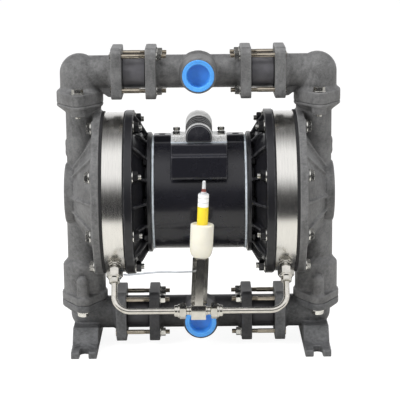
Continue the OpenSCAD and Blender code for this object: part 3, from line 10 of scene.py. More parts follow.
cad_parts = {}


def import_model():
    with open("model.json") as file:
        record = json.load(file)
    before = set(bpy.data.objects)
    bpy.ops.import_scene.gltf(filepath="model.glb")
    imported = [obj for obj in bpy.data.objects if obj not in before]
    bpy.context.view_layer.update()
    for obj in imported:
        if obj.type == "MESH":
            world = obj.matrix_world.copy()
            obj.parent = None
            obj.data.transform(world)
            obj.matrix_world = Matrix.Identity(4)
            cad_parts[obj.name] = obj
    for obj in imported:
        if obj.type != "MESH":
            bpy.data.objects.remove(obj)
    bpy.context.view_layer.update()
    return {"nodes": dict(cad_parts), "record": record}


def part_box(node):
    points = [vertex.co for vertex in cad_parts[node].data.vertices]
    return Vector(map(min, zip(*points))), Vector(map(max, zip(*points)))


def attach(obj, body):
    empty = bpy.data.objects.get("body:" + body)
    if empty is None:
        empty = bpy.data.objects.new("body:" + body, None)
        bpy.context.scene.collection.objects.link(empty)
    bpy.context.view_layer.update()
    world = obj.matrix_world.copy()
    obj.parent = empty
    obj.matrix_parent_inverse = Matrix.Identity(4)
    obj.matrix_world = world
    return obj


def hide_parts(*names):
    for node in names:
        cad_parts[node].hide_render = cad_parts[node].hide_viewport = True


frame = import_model()
scene = bpy.context.scene
scene.view_settings.view_transform = "Standard"


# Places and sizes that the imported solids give
def middle(node):
    low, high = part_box(node)
    return (low + high) / 2


def solids(node):
    """The box of each separate solid in a node, as (lowest corner, highest corner)."""
    bm = bmesh.new()
    bm.from_mesh(frame["nodes"][node].data)
    bmesh.ops.remove_doubles(bm, verts=bm.verts, dist=1e-6)
    left = set(bm.verts)
    boxes = []
    while left:
        stack = [left.pop()]
        points = []
        while stack:
            vert = stack.pop()
            points.append(vert.co.copy())
            for edge in vert.link_edges:
                other = edge.other_vert(vert)
                if other in left:
                    left.discard(other)
                    stack.append(other)
        co = np.array(points)
        boxes.append((Vector(co.min(0)), Vector(co.max(0))))
    bm.free()
    return sorted(boxes, key=lambda b: tuple(round(v, 4) for v in (*b[0], *b[1])))


SLOTS = {part["node"]: part["material_slot"] for part in frame["record"]["subparts"]}
casing_z = middle("main_shaft").z
column_x = middle("suction_ball_right").x
suction_z = middle("suction_spacers").z
discharge_z = middle("discharge_spacers").z
ring_low, ring_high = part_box("containment_ring_right")
ring_mid_x = (ring_low.x + ring_high.x) / 2
drain_y = middle("detector_column").y
muffler_low, muffler_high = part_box("muffler")
end_cap_low, end_cap_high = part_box("valve_end_cap")
valve_seat_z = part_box("valve_gasket")[1].z
barrel_z = valve_seat_z + 0.008

# Sizes of the castings, in metres
PIPE_R, PIPE_BORE_R = 0.028, 0.020
COLUMN_R, COLUMN_BAND_R = 0.025, 0.028
DRUM_R, SPIGOT_R = 0.097, 0.103
RING_BORE_R = 0.117
VALVE_FLANGE_T = 0.011

# Sizes of the fasteners and the tube, in metres. FIT is the gap between a bore and what is in it.
M10 = dict(radius=0.005, flats=0.017, pitch=0.0015, head=0.0065)
M8 = dict(radius=0.004, flats=0.013, pitch=0.00125, head=0.0053)
FIT = 0.0001
TUBE_R = 0.005
TUBE_BEND = 0.028
FITTING_ANGLE = radians(51)
DRAIN_REACH = 0.222
HEX_FLATS = 0.023
TUBE_NUT_FLATS = 0.024
RING_NUT_L, SIDE_NUT_L = 0.024, 0.020

# The leak detector's block stands left of the middle, and what is on it leans to the right.
# The heights are measured along the leaning column from the block's centre.
DETECTOR_X = -0.0035
DETECTOR_LEAN = 3
BLOCK_HALF, NECK_END = 0.01225, 0.02024
HOLDER_FOOT_R, HOLDER_R, SENSOR_R = 0.011, 0.019, 0.009
COLUMN_TOP, HOLDER_TOP = 0.09075, 0.14725
SENSOR_FOOT, SENSOR_TOP, BAND_TOP, GLAND_TOP = 0.10075, 0.17625, 0.19825, 0.21925
block_z = casing_z - DRAIN_REACH * sin(FITTING_ANGLE)


# Shapes are pairs of points and faces, in metres
def lathe(profile, seg=48, loop=False):
    """A profile of (radius, height) turned about Z. A loop profile closes on itself."""
    points, faces, rings = [], [], []
    for r, h in profile:
        if r < 1e-7:
            rings.append([len(points)])
            points.append((0, 0, h))
        else:
            rings.append(range(len(points), len(points) + seg))
            points += [(r * cos(2 * pi * k / seg), r * sin(2 * pi * k / seg), h) for k in range(seg)]
    pairs = list(zip(rings, rings[1:]))
    if loop:
        pairs.append((rings[-1], rings[0]))
    for low, high in pairs:
        for k in range(seg):
            n = (k + 1) % seg
            ring = [low[k % len(low)], low[n % len(low)], high[n % len(high)], high[k % len(high)]]
            face = list(dict.fromkeys(ring))
            if len(face) > 2:
                faces.append(face)
    return points, faces


def rounded(points, radius, steps=4, loop=True):
    """The outline with each corner replaced by an arc. The radius may be one number or one a corner."""
    out = []
    last = len(points) - 1
    for i, p in enumerate(points):
        r = radius[i] if isinstance(radius, (list, tuple)) else radius
        here = Vector(p)
        back = Vector(points[i - 1]) - here
        on = Vector(points[(i + 1) % (last + 1)]) - here
        straight = back.length < 1e-9 or on.length < 1e-9 or back.angle(on) > pi - 0.02
        if r <= 0 or straight or (not loop and i in (0, last)):
            out.append(tuple(p))
            continue
        half = back.angle(on) / 2
        run = min(r / tan(half), back.length * 0.49, on.length * 0.49)
        mid = here + (back.normalized() + on.normalized()).normalized() * (run / cos(half))
        start = here + back.normalized() * run - mid
        end = here + on.normalized() * run - mid
        a0 = atan2(start.y, start.x)
        turn = (atan2(end.y, end.x) - a0 + pi) % (2 * pi) - pi
        for k in range(steps + 1):
            a = a0 + turn * k / steps
            out.append((mid.x + start.length * cos(a), mid.y + start.length * sin(a)))
    return out


def ring_profile(r0, r1, z0, z1, edge):
    """The outline of a washer or a tube wall with rounded edges, for a lathe loop."""
    return rounded([(r0, z0), (r1, z0), (r1, z1), (r0, z1)], edge, 3)


def prism(outline, z0, z1, bevel=0.0, steps=3):
    """An outline of (x, y) points stood up from z0 to z1 with rounded rims."""
    n = len(outline)
    area = sum(outline[i - 1][0] * outline[i][1] - outline[i][0] * outline[i - 1][1] for i in range(n))
    if area < 0:
        outline = outline[::-1]
    normals = []
    for i in range(n):
        a = Vector(outline[i]) - Vector(outline[i - 1])
        b = Vector(outline[(i + 1) % n]) - Vector(outline[i])
        na = Vector((a.y, -a.x)).normalized()
        nb = Vector((b.y, -b.x)).normalized()
        mean = (na + nb).normalized()
        normals.append(mean / max(mean.dot(na), 0.3))
    levels = [(0, z0), (0, z1)]
    if bevel > 0:
        arc = [k * pi / 2 / steps for k in range(steps + 1)]
        levels = [(bevel * (1 - sin(a)), z0 + bevel * (1 - cos(a))) for a in arc]
        levels += [(bevel * (1 - cos(a)), z1 - bevel * (1 - sin(a))) for a in arc]
    points = []
    for inset, z in levels:
        points += [(p[0] - m.x * inset, p[1] - m.y * inset, z) for p, m in zip(outline, normals)]
    faces = [list(range(n))[::-1], list(range(len(points) - n, len(points)))]
    for j in range(len(levels) - 1):
        for k in range(n):
            m = (k + 1) % n
            faces.append([j * n + k, j * n + m, (j + 1) * n + m, (j + 1) * n + k])
    return points, faces


def box_shape(low, high, bevel):
    """A box with rounded edges between two corners."""
    outline = rounded([(low[0], low[1]), (high[0], low[1]), (high[0], high[1]), (low[0], high[1])], bevel, 3)
    return prism(outline, low[2], high[2], bevel)


def moved(shape, *matrices):
    """The shape under the matrices, the first one applied last."""
    whole = Matrix.Identity(4)
    for m in matrices:
        whole = whole @ m
    points = [tuple(whole @ Vector(p)) for p in shape[0]]
    flip = whole.determinant() < 0
    faces = [list(f)[::-1] for f in shape[1]] if flip else shape[1]
    return points, faces


def joined(*shapes):
    points, faces = [], []
    for p, f in shapes:
        start = len(points)
        points += list(p)
        faces += [[i + start for i in face] for face in f]
    return points, faces


def at(x, y, z):
    return Matrix.Translation((x, y, z))


def turn(degrees, axis):
    return Matrix.Rotation(radians(degrees), 4, axis)


MIRROR_X = Matrix.Diagonal((-1, 1, 1, 1))
MIRROR_Y = Matrix.Diagonal((1, -1, 1, 1))
LEANING = at(DETECTOR_X, drain_y, block_z) @ turn(DETECTOR_LEAN, "Y")


def both_sides(shape):
    return joined(shape, moved(shape, MIRROR_X))


def sweep(path, radius, seg=16):
    """A round tube along a path. The radius may be a number or one a point."""
    path = [Vector(p) for p in path]
    count = len(path)
    radii = radius if isinstance(radius, (list, tuple)) else [radius] * count
    tangents = [(path[min(i + 1, count - 1)] - path[max(i - 1, 0)]).normalized() for i in range(count)]
    side = tangents[0].orthogonal().normalized()
    points, faces = [], []
    for i in range(count):
        side = (side - tangents[i] * side.dot(tangents[i])).normalized()
        up = tangents[i].cross(side)
        for k in range(seg):
            a = 2 * pi * k / seg
            points.append(tuple(path[i] + (side * cos(a) + up * sin(a)) * radii[i]))
    for i in range(count - 1):
        for k in range(seg):
            n = (k + 1) % seg
            faces.append([i * seg + k, i * seg + n, (i + 1) * seg + n, (i + 1) * seg + k])
    faces += [list(range(seg))[::-1], list(range((count - 1) * seg, count * seg))]
    return points, faces


def hexagon(flats, height, bore=0.0, under=False, seg=72):
    """A hexagonal prism on z = 0 whose corners are turned down at 30 degrees, on top and maybe below."""
    apothem = flats / 2
    flat_r = apothem * 0.97
    chamfer = 0.0006
    rims = [apothem / cos(radians(360 / seg * k % 60 - 30)) for k in range(seg)]
    drops = [(r - flat_r) * tan(radians(30)) for r in rims]
    layers = [[(flat_r, 0)] * seg] if under else []
    layers.append([(r, d if under else 0) for r, d in zip(rims, drops)])
    layers.append([(r, height - d) for r, d in zip(rims, drops)])
    layers.append([(flat_r, height)] * seg)
    if bore:
        layers += [[(bore + chamfer, height)] * seg, [(bore, height - chamfer)] * seg]
        layers += [[(bore, chamfer)] * seg, [(bore + chamfer, 0)] * seg]
    points = []
    for layer in layers:
        for k, (r, z) in enumerate(layer):
            points.append((r * cos(2 * pi * k / seg), r * sin(2 * pi * k / seg), z))
    faces = []
    count = len(layers)
    for j in range(count if bore else count - 1):
        low, high = j * seg, (j + 1) % count * seg
        for k in range(seg):
            n = (k + 1) % seg
            faces.append([low + k, low + n, high + n, high + k])
    if not bore:
        faces += [list(range(seg))[::-1], list(range(len(points) - seg, len(points)))]
    return points, faces


def screw_thread(radius, pitch, z0, z1, seg=24):
    """A threaded rod from z0 to z1 with chamfered ends."""
    depth = pitch * 0.42
    per_turn = 6
    count = max(4, int((z1 - z0) / pitch * per_turn))
    points, faces = [], []
    for j in range(count + 1):
        z = z0 + (z1 - z0) * j / count
        edge = min(z - z0, z1 - z) / pitch
        most = radius - depth * max(0, 1 - edge)
        for k in range(seg):
            phase = (z / pitch - k / seg) % 1
            r = min(radius - depth * abs(2 * phase - 1), most)
            points.append((r * cos(2 * pi * k / seg), r * sin(2 * pi * k / seg), z))
    for j in range(count):
        for k in range(seg):
            n = (k + 1) % seg
            faces.append([j * seg + k, j * seg + n, (j + 1) * seg + n, (j + 1) * seg + k])
    faces += [list(range(seg))[::-1], list(range(len(points) - seg, len(points)))]
    return points, faces


def bolt(size, length, threaded):
    """A hexagon bolt with its head's underside on z = 0 and its shank below."""
    r, face_r, face_t = size["radius"], size["flats"] * 0.475, 0.0004
    thread_top = -length + threaded
    head = moved(hexagon(size["flats"], size["head"] - face_t), at(0, 0, face_t))
    face = lathe([(0, face_t), (face_r, face_t), (face_r, 0), (0, 0)], 36)
    shank = lathe([(0, 0.0005), (r, 0.0005), (r, thread_top), (r - 0.0004, thread_top)], 24)
    return joined(head, face, shank, screw_thread(r, size["pitch"], -length, thread_top + 0.0002))


# Materials
class Nodes:
    """A node tree with a short way to add its nodes."""

    def __init__(self, tree):
        self.tree = tree

    def feed(self, socket, value):
        if isinstance(value, bpy.types.NodeSocket):
            self.tree.links.new(value, socket)
        else:
            socket.default_value = value

    def node(self, kind, *fed, **named):
        """A node whose first inputs, and whose inputs by name, are set or linked."""
        made = self.tree.nodes.new(kind)
        for socket, value in zip(made.inputs, fed):
            self.feed(socket, value)
        for key, value in named.items():
            self.feed(made.inputs[key.replace("_", " ")], value)
        return made

    def math(self, operation, a, b=0.0):
        made = self.node("ShaderNodeMath", a, b)
        made.operation = operation
        return made.outputs[0]


class Look(Nodes):
    """A Principled material and what its shader is fed."""

    def __init__(self, name, color, rough=0.5, metal=0.0, **sockets):
        self.material = bpy.data.materials.new(name)
        self.material.use_nodes = True
        super().__init__(self.material.node_tree)
        self.shader = self.tree.nodes["Principled BSDF"]
        self.set("Base Color", (*color, 1))
        self.set("Roughness", rough)
        self.set("Metallic", metal)
        for key, value in sockets.items():
            self.set(key.replace("_", " "), value)
        self.coords = self.node("ShaderNodeTexCoord").outputs["Object"]
        self.normal = None

    def set(self, socket, value):
        self.shader.inputs[socket].default_value = value

    def noise(self, scale, detail=4.0, rough=0.55, coords=None):
        made = self.node("ShaderNodeTexNoise", Scale=scale, Detail=detail, Roughness=rough)
        self.feed(made.inputs["Vector"], coords or self.coords)
        return made.outputs["Fac"]

    def spread(self, value, low, high, out_low=0.0, out_high=1.0):
        return self.node("ShaderNodeMapRange", value, low, high, out_low, out_high).outputs["Result"]

    def blend(self, factor, a, b):
        made = self.tree.nodes.new("ShaderNodeMix")
        made.data_type = "RGBA"
        self.feed(made.inputs[0], factor)
        self.feed(made.inputs[6], a if isinstance(a, bpy.types.NodeSocket) else (*a, 1))
        self.feed(made.inputs[7], b if isinstance(b, bpy.types.NodeSocket) else (*b, 1))
        return made.outputs[2]

    def color(self, value):
        self.feed(self.shader.inputs["Base Color"], value)

    def rough(self, value):
        self.feed(self.shader.inputs["Roughness"], value)

    def bump(self, height, depth, strength=1.0):
        made = self.node("ShaderNodeBump", Strength=strength, Distance=depth)
        self.feed(made.inputs["Height"], height)
        if self.normal:
            self.feed(made.inputs["Normal"], self.normal)
        self.normal = made.outputs["Normal"]
        self.feed(self.shader.inputs["Normal"], self.normal)

    def stretched(self, x, y, z):
        """The object's coordinates times a factor along each axis."""
        return self.node("ShaderNodeMapping", Vector=self.coords, Scale=(x, y, z)).outputs["Vector"]

    def edges(self, low=0.505, high=0.56):
        """1 along sharp outer edges, from the surface's pointiness."""
        point = self.node("ShaderNodeNewGeometry").outputs["Pointiness"]
        return self.spread(point, low, high)


def shade(color, factor, lift=0.0):
    return tuple(min(1, c * factor + lift) for c in color)


def moulded_plastic(name, color, dust=1.7, rough=0.46):
    """Satin glass-filled plastic with a mottled, slightly dusty skin."""
    look = Look(name, color, rough, Specular_IOR_Level=0.45)
    blotch = look.noise(26.0, 5.0, 0.65)
    dapple = look.noise(210.0, 4.0, 0.7)
    grain = look.noise(900.0, 3.0, 0.6)
    fine = look.math("ADD", look.math("MULTIPLY", dapple, 0.35), look.math("MULTIPLY", grain, 0.2))
    tone = look.spread(look.math("ADD", look.math("MULTIPLY", blotch, 0.45), fine), 0.40, 0.61)
    mottled = look.blend(tone, shade(color, 0.62), shade(color, dust))
    # Sharp edges are painted lighter: partly wear, partly a painted highlight along the rims.
    edge_wear_and_highlight = look.math("MULTIPLY", look.edges(), look.spread(look.noise(60.0), 0.35, 0.65, 0.15, 0.6))
    look.color(look.blend(edge_wear_and_highlight, mottled, shade(color, 1.9, 0.01)))
    look.rough(look.spread(blotch, 0.3, 0.7, rough - 0.07, rough + 0.08))
    look.bump(look.noise(420.0, 4.0, 0.6), 0.00025, 0.35)
    look.bump(blotch, 0.0012, 0.25)
    return look.material


def gloss_paint(name, color, rough):
    """Gloss black paint over a casting, with a faint orange peel."""
    look = Look(name, color, rough, Coat_Weight=0.3, Coat_Roughness=0.08, Specular_IOR_Level=0.35)
    peel = look.noise(160.0, 3.0, 0.5)
    flecks = look.spread(look.noise(1500.0, 2.0, 0.5), 0.74, 0.8)
    # Sharp edges are painted light grey: a painted highlight along the casting's edges, with some worn
    # paint.
    edge_wear_and_highlight = look.math("MULTIPLY", look.edges(0.515, 0.58), look.spread(look.noise(90.0), 0.4, 0.7, 0.1, 0.7))
    base = look.blend(flecks, color, shade(color, 5, 0.03))
    look.color(look.blend(edge_wear_and_highlight, base, (0.16, 0.16, 0.17)))
    look.rough(look.spread(look.noise(35.0), 0.3, 0.7, rough * 0.85, rough * 1.3))
    look.bump(peel, 0.0006, 0.18)
    return look.material


def bright_steel(name, color, rough, streak=(60.0, 60.0, 60.0), wear=0.12):
    """Bright metal with fine scratches and a little tarnish."""
    look = Look(name, color, rough, 1.0)
    scratch = look.noise(1.0, 3.0, 0.6, look.stretched(*streak))
    tarnish = look.noise(110.0, 4.0, 0.6)
    look.color(look.blend(look.spread(tarnish, 0.35, 0.7, 0.0, 0.45), color, shade(color, 0.6)))
    look.rough(look.spread(scratch, 0.3, 0.7, rough * 0.7, rough * 1.5))
    look.bump(scratch, 0.0002, wear)
    return look.material


def brushed_ring(name, color):
    """Stainless sheet brushed round the ring, so its scratches run round the X axis."""
    look = Look(name, color, 0.24, 1.0)
    parts = look.node("ShaderNodeSeparateXYZ", Vector=look.coords)
    angle = look.math("ARCTAN2", look.math("SUBTRACT", parts.outputs["Z"], casing_z), parts.outputs["Y"])

    def round_coords(across, along):
        x = look.math("MULTIPLY", parts.outputs["X"], across)
        return look.node("ShaderNodeCombineXYZ", x, look.math("MULTIPLY", angle, along)).outputs["Vector"]

    lines = look.noise(1.0, 3.0, 0.65, round_coords(3200.0, 7.0))
    bands = look.noise(1.0, 2.0, 0.5, round_coords(420.0, 4.0))
    tone = look.math("ADD", look.math("MULTIPLY", lines, 0.6), look.math("MULTIPLY", bands, 0.4))
    look.color(look.blend(look.spread(tone, 0.35, 0.65), shade(color, 0.84), color))
    look.rough(look.spread(bands, 0.3, 0.7, 0.20, 0.25))
    return look.material


def blasted_aluminium(name, color):
    """Rough grey cast metal with bright and dark specks."""
    look = Look(name, color, 0.5, 0.55)
    speck = look.noise(700.0, 3.0, 0.7)
    lumps = look.noise(220.0, 4.0, 0.6)
    look.color(look.blend(look.spread(speck, 0.34, 0.66), shade(color, 0.6), shade(color, 1.4)))
    look.bump(lumps, 0.0008, 0.6)
    look.bump(speck, 0.0004, 0.5)
    return look.material


def smooth_plastic(name, color, rough, inside=0.0, tone=0.12, scale=40.0, shine=0.5):
    """Smooth coloured plastic, a little uneven, with light passing into it where inside is over 0."""
    look = Look(name, color, rough, Specular_IOR_Level=shine)
    if inside:
        look.set("Subsurface Weight", inside)
        look.set("Subsurface Radius", (0.006, 0.005, 0.003))
    blotch = look.noise(scale, 4.0, 0.6)
    look.color(look.blend(look.spread(blotch, 0.3, 0.7), shade(color, 1 - tone), shade(color, 1 + tone)))
    look.rough(look.spread(look.noise(scale * 3), 0.3, 0.7, rough * 0.85, rough * 1.2))
    look.bump(look.noise(scale * 14, 3.0, 0.6), 0.00015, 0.2)
    return look.material


def matt_rubber(name, color):
    look = Look(name, color, 0.75)
    grain = look.noise(600.0, 3.0, 0.6)
    look.color(look.blend(grain, shade(color, 0.7), shade(color, 1.5)))
    look.bump(grain, 0.0002, 0.3)
    return look.material


LOOKS = {
    "body_black": gloss_paint("gloss black paint", (0.010, 0.010, 0.014), 0.24),
    "air_cap_black": gloss_paint("satin black paint", (0.009, 0.009, 0.011), 0.34),
    "gasket_pale": smooth_plastic("pale gasket sheet", (0.55, 0.60, 0.65), 0.55, tone=0.2, scale=120.0),
    "stainless": bright_steel("bright stainless", (0.70, 0.675, 0.62), 0.2, (40.0, 40.0, 400.0), 0.03),
    "polished": bright_steel("polished stainless", (0.66, 0.64, 0.59), 0.13, (30.0, 30.0, 30.0), 0.0),
    "fluid_plastic": moulded_plastic("moulded dark grey plastic", (0.096, 0.096, 0.097)),
    # A darker copy of the fluid caps' plastic for the lower elbows: painted shade under the pump.
    "fluid_plastic_dark": moulded_plastic("moulded dark grey plastic with painted shade", (0.074, 0.075, 0.078)),
    "spacer_plastic": smooth_plastic("turned black plastic", (0.095, 0.093, 0.103), 0.38, tone=0.25),
    # A darker copy of the turned plastic for the suction spacers: painted shade under the pump.
    "spacer_shaded": smooth_plastic("turned black plastic with painted shade", (0.030, 0.029, 0.034), 0.38, tone=0.25),
    # A much darker copy of the fluid plastic for the suction tee: painted shade, as it sits in the pump's
    # shadow.
    "tee_painted_shade": moulded_plastic("moulded grey plastic with deep painted shade", (0.026, 0.026, 0.028)),
    "rib_black": smooth_plastic("ribbed black plastic", (0.004, 0.004, 0.005), 0.35, tone=0.2, shine=0.08),
    "cap_rim": smooth_plastic("dark grey plastic", (0.05, 0.05, 0.054), 0.35),
    "rubber": matt_rubber("black rubber", (0.012, 0.012, 0.013)),
    "zinc": bright_steel("bright plated steel", (0.80, 0.79, 0.75), 0.2, (300.0, 300.0, 300.0)),
    "zinc_warm": bright_steel("warm plated steel", (0.56, 0.50, 0.41), 0.26, (30.0, 300.0, 300.0)),
    "dark_steel": bright_steel("black oxide steel", (0.10, 0.10, 0.105), 0.36, (200.0, 200.0, 200.0)),
    "ball_plastic": smooth_plastic("white ball plastic", (0.80, 0.78, 0.70), 0.35),
    "plug_blue": smooth_plastic("bright blue plastic", (0.07, 0.30, 0.72), 0.38, 0.15, 0.1, 60.0),
    "cast_grey": blasted_aluminium("blasted cast aluminium", (0.76, 0.76, 0.75)),
    "aluminium": bright_steel("machined aluminium", (0.62, 0.63, 0.64), 0.3),
    "bronze": bright_steel("bearing bronze", (0.55, 0.40, 0.20), 0.32),
    "muffler_grey": smooth_plastic("porous grey plastic", (0.93, 0.93, 0.92), 0.7, tone=0.07, scale=260.0),
    "holder_milky": smooth_plastic("milky plastic", (0.70, 0.675, 0.585), 0.42, 0.3, 0.05, 30.0),
    "sensor_yellow": smooth_plastic("bright yellow plastic", (0.84, 0.64, 0.035), 0.3, 0.15, 0.06, 30.0),
    "band_white": smooth_plastic("white band", (0.84, 0.84, 0.82), 0.5, 0.0, 0.05, 60.0),
    "gland_grey": smooth_plastic("pale grey plastic", (0.56, 0.57, 0.58), 0.45),
    "wire_grey": smooth_plastic("pale grey insulation", (0.36, 0.38, 0.41), 0.55, tone=0.15, scale=90.0),
}
RING_LOOK = brushed_ring("brushed stainless", (0.80, 0.785, 0.75))
GLAND_RED = smooth_plastic("red brown insulation", (0.20, 0.05, 0.04), 0.5)


# Pieces
def new_object(name, mesh):
    made = bpy.data.objects.new(name, mesh)
    scene.collection.objects.link(made)
    return made


def finish_piece(made, look, stands_for, body, sharp):
    """Gives a piece its body and its finish, and hides the solids that it stands for."""
    material = LOOKS[look] if isinstance(look, str) else look
    made.data.materials.clear()
    made.data.materials.append(material)
    made.data.polygons.foreach_set("use_smooth", [True] * len(made.data.polygons))
    made.data.set_sharp_from_angle(angle=radians(sharp))
    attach(made, body)
    if stands_for:
        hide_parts(*stands_for)
    return made


def piece(name, shape, look, stands_for=(), body="pump", sharp=38, weld=True):
    mesh = bpy.data.meshes.new(name)
    mesh.from_pydata([tuple(p) for p in shape[0]], [], [list(f) for f in shape[1]])
    bm = bmesh.new()
    bm.from_mesh(mesh)
    if weld:
        bmesh.ops.remove_doubles(bm, verts=bm.verts, dist=1e-7)
    bmesh.ops.recalc_face_normals(bm, faces=bm.faces)
    bm.to_mesh(mesh)
    bm.free()
    return finish_piece(new_object(name, mesh), look, stands_for, body, sharp)


def smooth_mesh(mesh, passes, weight=0.5):
    """Moves each point towards the mean of its neighbours."""
    count = len(mesh.vertices)
    co = np.empty(count * 3)
    mesh.vertices.foreach_get("co", co)
    co = co.reshape(-1, 3)
    ends = np.empty(len(mesh.edges) * 2, dtype=np.int64)
    mesh.edges.foreach_get("vertices", ends)
    a, b = ends[0::2], ends[1::2]
    degree = np.maximum(np.bincount(ends, minlength=count), 1)
    for _ in range(passes):
        sums = [np.bincount(a, co[b, k], count) + np.bincount(b, co[a, k], count) for k in range(3)]
        co = co + (np.stack(sums, 1) / degree[:, None] - co) * weight
    return co


def snap_round(co, axis, centre, radius, reach=0.0004):
    """Points that lie almost on a cylinder are put on it. The axis is 0 for X, 1 for Y or 2 for Z."""
    i, j = [k for k in range(3) if k != axis]
    du, dv = co[:, i] - centre[0], co[:, j] - centre[1]
    r = np.maximum(np.hypot(du, dv), 1e-9)
    near = np.abs(r - radius) < reach
    co[near, i] = centre[0] + du[near] * radius / r[near]
    co[near, j] = centre[1] + dv[near] * radius / r[near]


def cast_skin(name, node, look, voxel=0.0013, passes=3, rounds=()):
    """A node's solid as one softened casting: remeshed, smoothed, and put back on its true rounds."""
    mesh = bpy.data.meshes.new(name)
    bm = bmesh.new()
    bm.from_mesh(frame["nodes"][node].data)
    bmesh.ops.remove_doubles(bm, verts=bm.verts, dist=1e-6)
    bm.to_mesh(mesh)
    bm.free()
    made = new_object(name, mesh)
    remesh = made.modifiers.new("skin", "REMESH")
    remesh.mode = "VOXEL"
    remesh.voxel_size = voxel
    remesh.use_smooth_shade = True
    evaluated = made.evaluated_get(bpy.context.evaluated_depsgraph_get())
    skin = bpy.data.meshes.new_from_object(evaluated)
    made.modifiers.clear()
    made.data = skin
    skin.name = name
    co = smooth_mesh(skin, passes)
    for axis, centre, radius in rounds:
        snap_round(co, axis, centre, radius)
    low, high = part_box(node)
    co = np.clip(co, np.array(low), np.array(high))
    skin.vertices.foreach_set("co", co.astype(np.float32).ravel())
    skin.update()
    return finish_piece(made, look, (node,), "pump", 60)


def mirrored_skin(made, name, node, look):
    """The left-hand copy of a right-hand skin."""
    mesh = made.data.copy()
    mesh.name = name
    mesh.transform(MIRROR_X)
    mesh.flip_normals()
    return finish_piece(new_object(name, mesh), look, (node,), "pump", 60)


# Plastic and painted castings
def castings():
    casing_axis = (0, casing_z)
    column_axis = (column_x, 0)
    rim_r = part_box("air_cap_right")[1].y
    cap_rounds = [(0, casing_axis, rim_r), (2, column_axis, COLUMN_R), (2, column_axis, COLUMN_BAND_R)]
    cap = cast_skin("fluid_cap_skin_right", "fluid_cap_right", "fluid_plastic", 0.0014, rounds=cap_rounds)
    mirrored_skin(cap, "fluid_cap_skin_left", "fluid_cap_left", "fluid_plastic")
    # The lower elbows take the darker copy of the plastic: painted shade.
    elbows = (("upper", "fluid_plastic", discharge_z), ("lower", "fluid_plastic_dark", suction_z))
    for kind, look, z in elbows:
        pipe = [(0, (0, z), PIPE_R)]
        elbow = cast_skin(f"{kind}_elbow_skin_right", f"{kind}_elbow_right", look, rounds=pipe)
        mirrored_skin(elbow, f"{kind}_elbow_skin_left", f"{kind}_elbow_left", look)
    # The suction tee takes the darkest copy of the plastic: painted shade.
    tees = (("discharge", "fluid_plastic", discharge_z), ("suction", "tee_painted_shade", suction_z))
    for kind, look, z in tees:
        cast_skin(f"{kind}_tee_skin", f"{kind}_tee", look, rounds=[(0, (0, z), PIPE_R)])
    air_cap = cast_skin("air_cap_skin_right", "air_cap_right", "air_cap_black", passes=2,
                        rounds=[(0, casing_axis, rim_r), (0, casing_axis, SPIGOT_R)])
    mirrored_skin(air_cap, "air_cap_skin_left", "air_cap_left", "air_cap_black")
    cast_skin("centre_body_skin", "centre_body", "body_black", passes=2, rounds=[(0, casing_axis, DRUM_R)])
    valve_casting()


def valve_casting():
    """The valve's grey casting, black on the ribs of its barrel and pale behind them."""
    groove_r, rib_r, collar_r = 0.020, 0.0225, 0.023
    valve = cast_skin("valve_body_skin", "valve_body", "cast_grey", 0.0011, 2,
                      rounds=[(1, (0, barrel_z), r) for r in (groove_r, rib_r, collar_r)])
    ribs_y, rear_y, ribs_z = -0.082, 0.0075, barrel_z + 0.0035
    valve.data.materials.append(LOOKS["rib_black"])
    valve.data.materials.append(LOOKS["muffler_grey"])
    for poly in valve.data.polygons:
        if poly.center.y > rear_y:
            poly.material_index = 2
        elif poly.center.y > ribs_y and poly.center.z > ribs_z:
            poly.material_index = 1


# Steel rings between the diaphragms
def containment_rings():
    wall = ring_profile(RING_BORE_R, ring_high.y, ring_low.x, ring_high.x, 0.0008)
    shape = moved(lathe(wall, 192, loop=True), at(0, 0, casing_z), turn(90, "Y"))
    for side, mirror in (("right", Matrix.Identity(4)), ("left", MIRROR_X)):
        piece(f"steel_ring_{side}", moved(shape, mirror), RING_LOOK, (f"containment_ring_{side}",))


# Fasteners
def along_x(box):
    """The matrix that puts local Z along the outward X direction of a solid's side, at its box's middle."""
    side = 1 if box[0].x + box[1].x > 0 else -1
    mid = (box[0] + box[1]) / 2
    return at(0, mid.y, mid.z) @ turn(90 * side, "Y")


def level_bolts(node, size, threaded):
    """A bolt along X, with its head outwards, for each solid of a node."""
    shapes = []
    for box in solids(node):
        outer = max(abs(box[0].x), abs(box[1].x))
        length = box[1].x - box[0].x - size["head"]
        shapes.append(moved(bolt(size, length, threaded), along_x(box), at(0, 0, outer - size["head"])))
    return joined(*shapes)


def level_nuts(node, size):
    shapes = []
    for box in solids(node):
        inner = min(abs(box[0].x), abs(box[1].x))
        nut = hexagon(size["flats"], box[1].x - box[0].x, size["radius"] + FIT, under=True)
        shapes.append(moved(nut, along_x(box), at(0, 0, inner)))
    return joined(*shapes)


def upright_bolts():
    """The joints' bolts stand with their heads away from the casing."""
    shapes = []
    for box in solids("joint_bolts"):
        mid = (box[0] + box[1]) / 2
        up = 1 if mid.z > casing_z else -1
        top = box[1].z if up > 0 else box[0].z
        length = box[1].z - box[0].z - M10["head"]
        spin = Matrix.Identity(4) if up > 0 else turn(180, "X")
        shapes.append(moved(bolt(M10, length, 0.02), at(mid.x, mid.y, top - up * M10["head"]), spin))
    return joined(*shapes)


def upright_nuts():
    shapes = []
    for box in solids("joint_nuts"):
        mid = (box[0] + box[1]) / 2
        nut = hexagon(M10["flats"], box[1].z - box[0].z, M10["radius"] + FIT, under=True)
        shapes.append(moved(nut, at(mid.x, mid.y, box[0].z)))
    return joined(*shapes)


def all_washers():
    """Washers lie flat, or stand across X, as their boxes do. The small ones are for M8."""
    small = 0.018
    shapes = []
    for box in solids("washers"):
        size = box[1] - box[0]
        across, thick = max(size), min(size)
        bore = (M8 if across < small else M10)["radius"] + FIT
        ring = lathe(ring_profile(bore, across / 2, -thick / 2, thick / 2, 0.0004), 36, loop=True)
        spin = Matrix.Identity(4) if size.z < across * 0.5 else turn(90, "Y")
        shapes.append(moved(ring, at(*((box[0] + box[1]) / 2)), spin))
    return joined(*shapes)


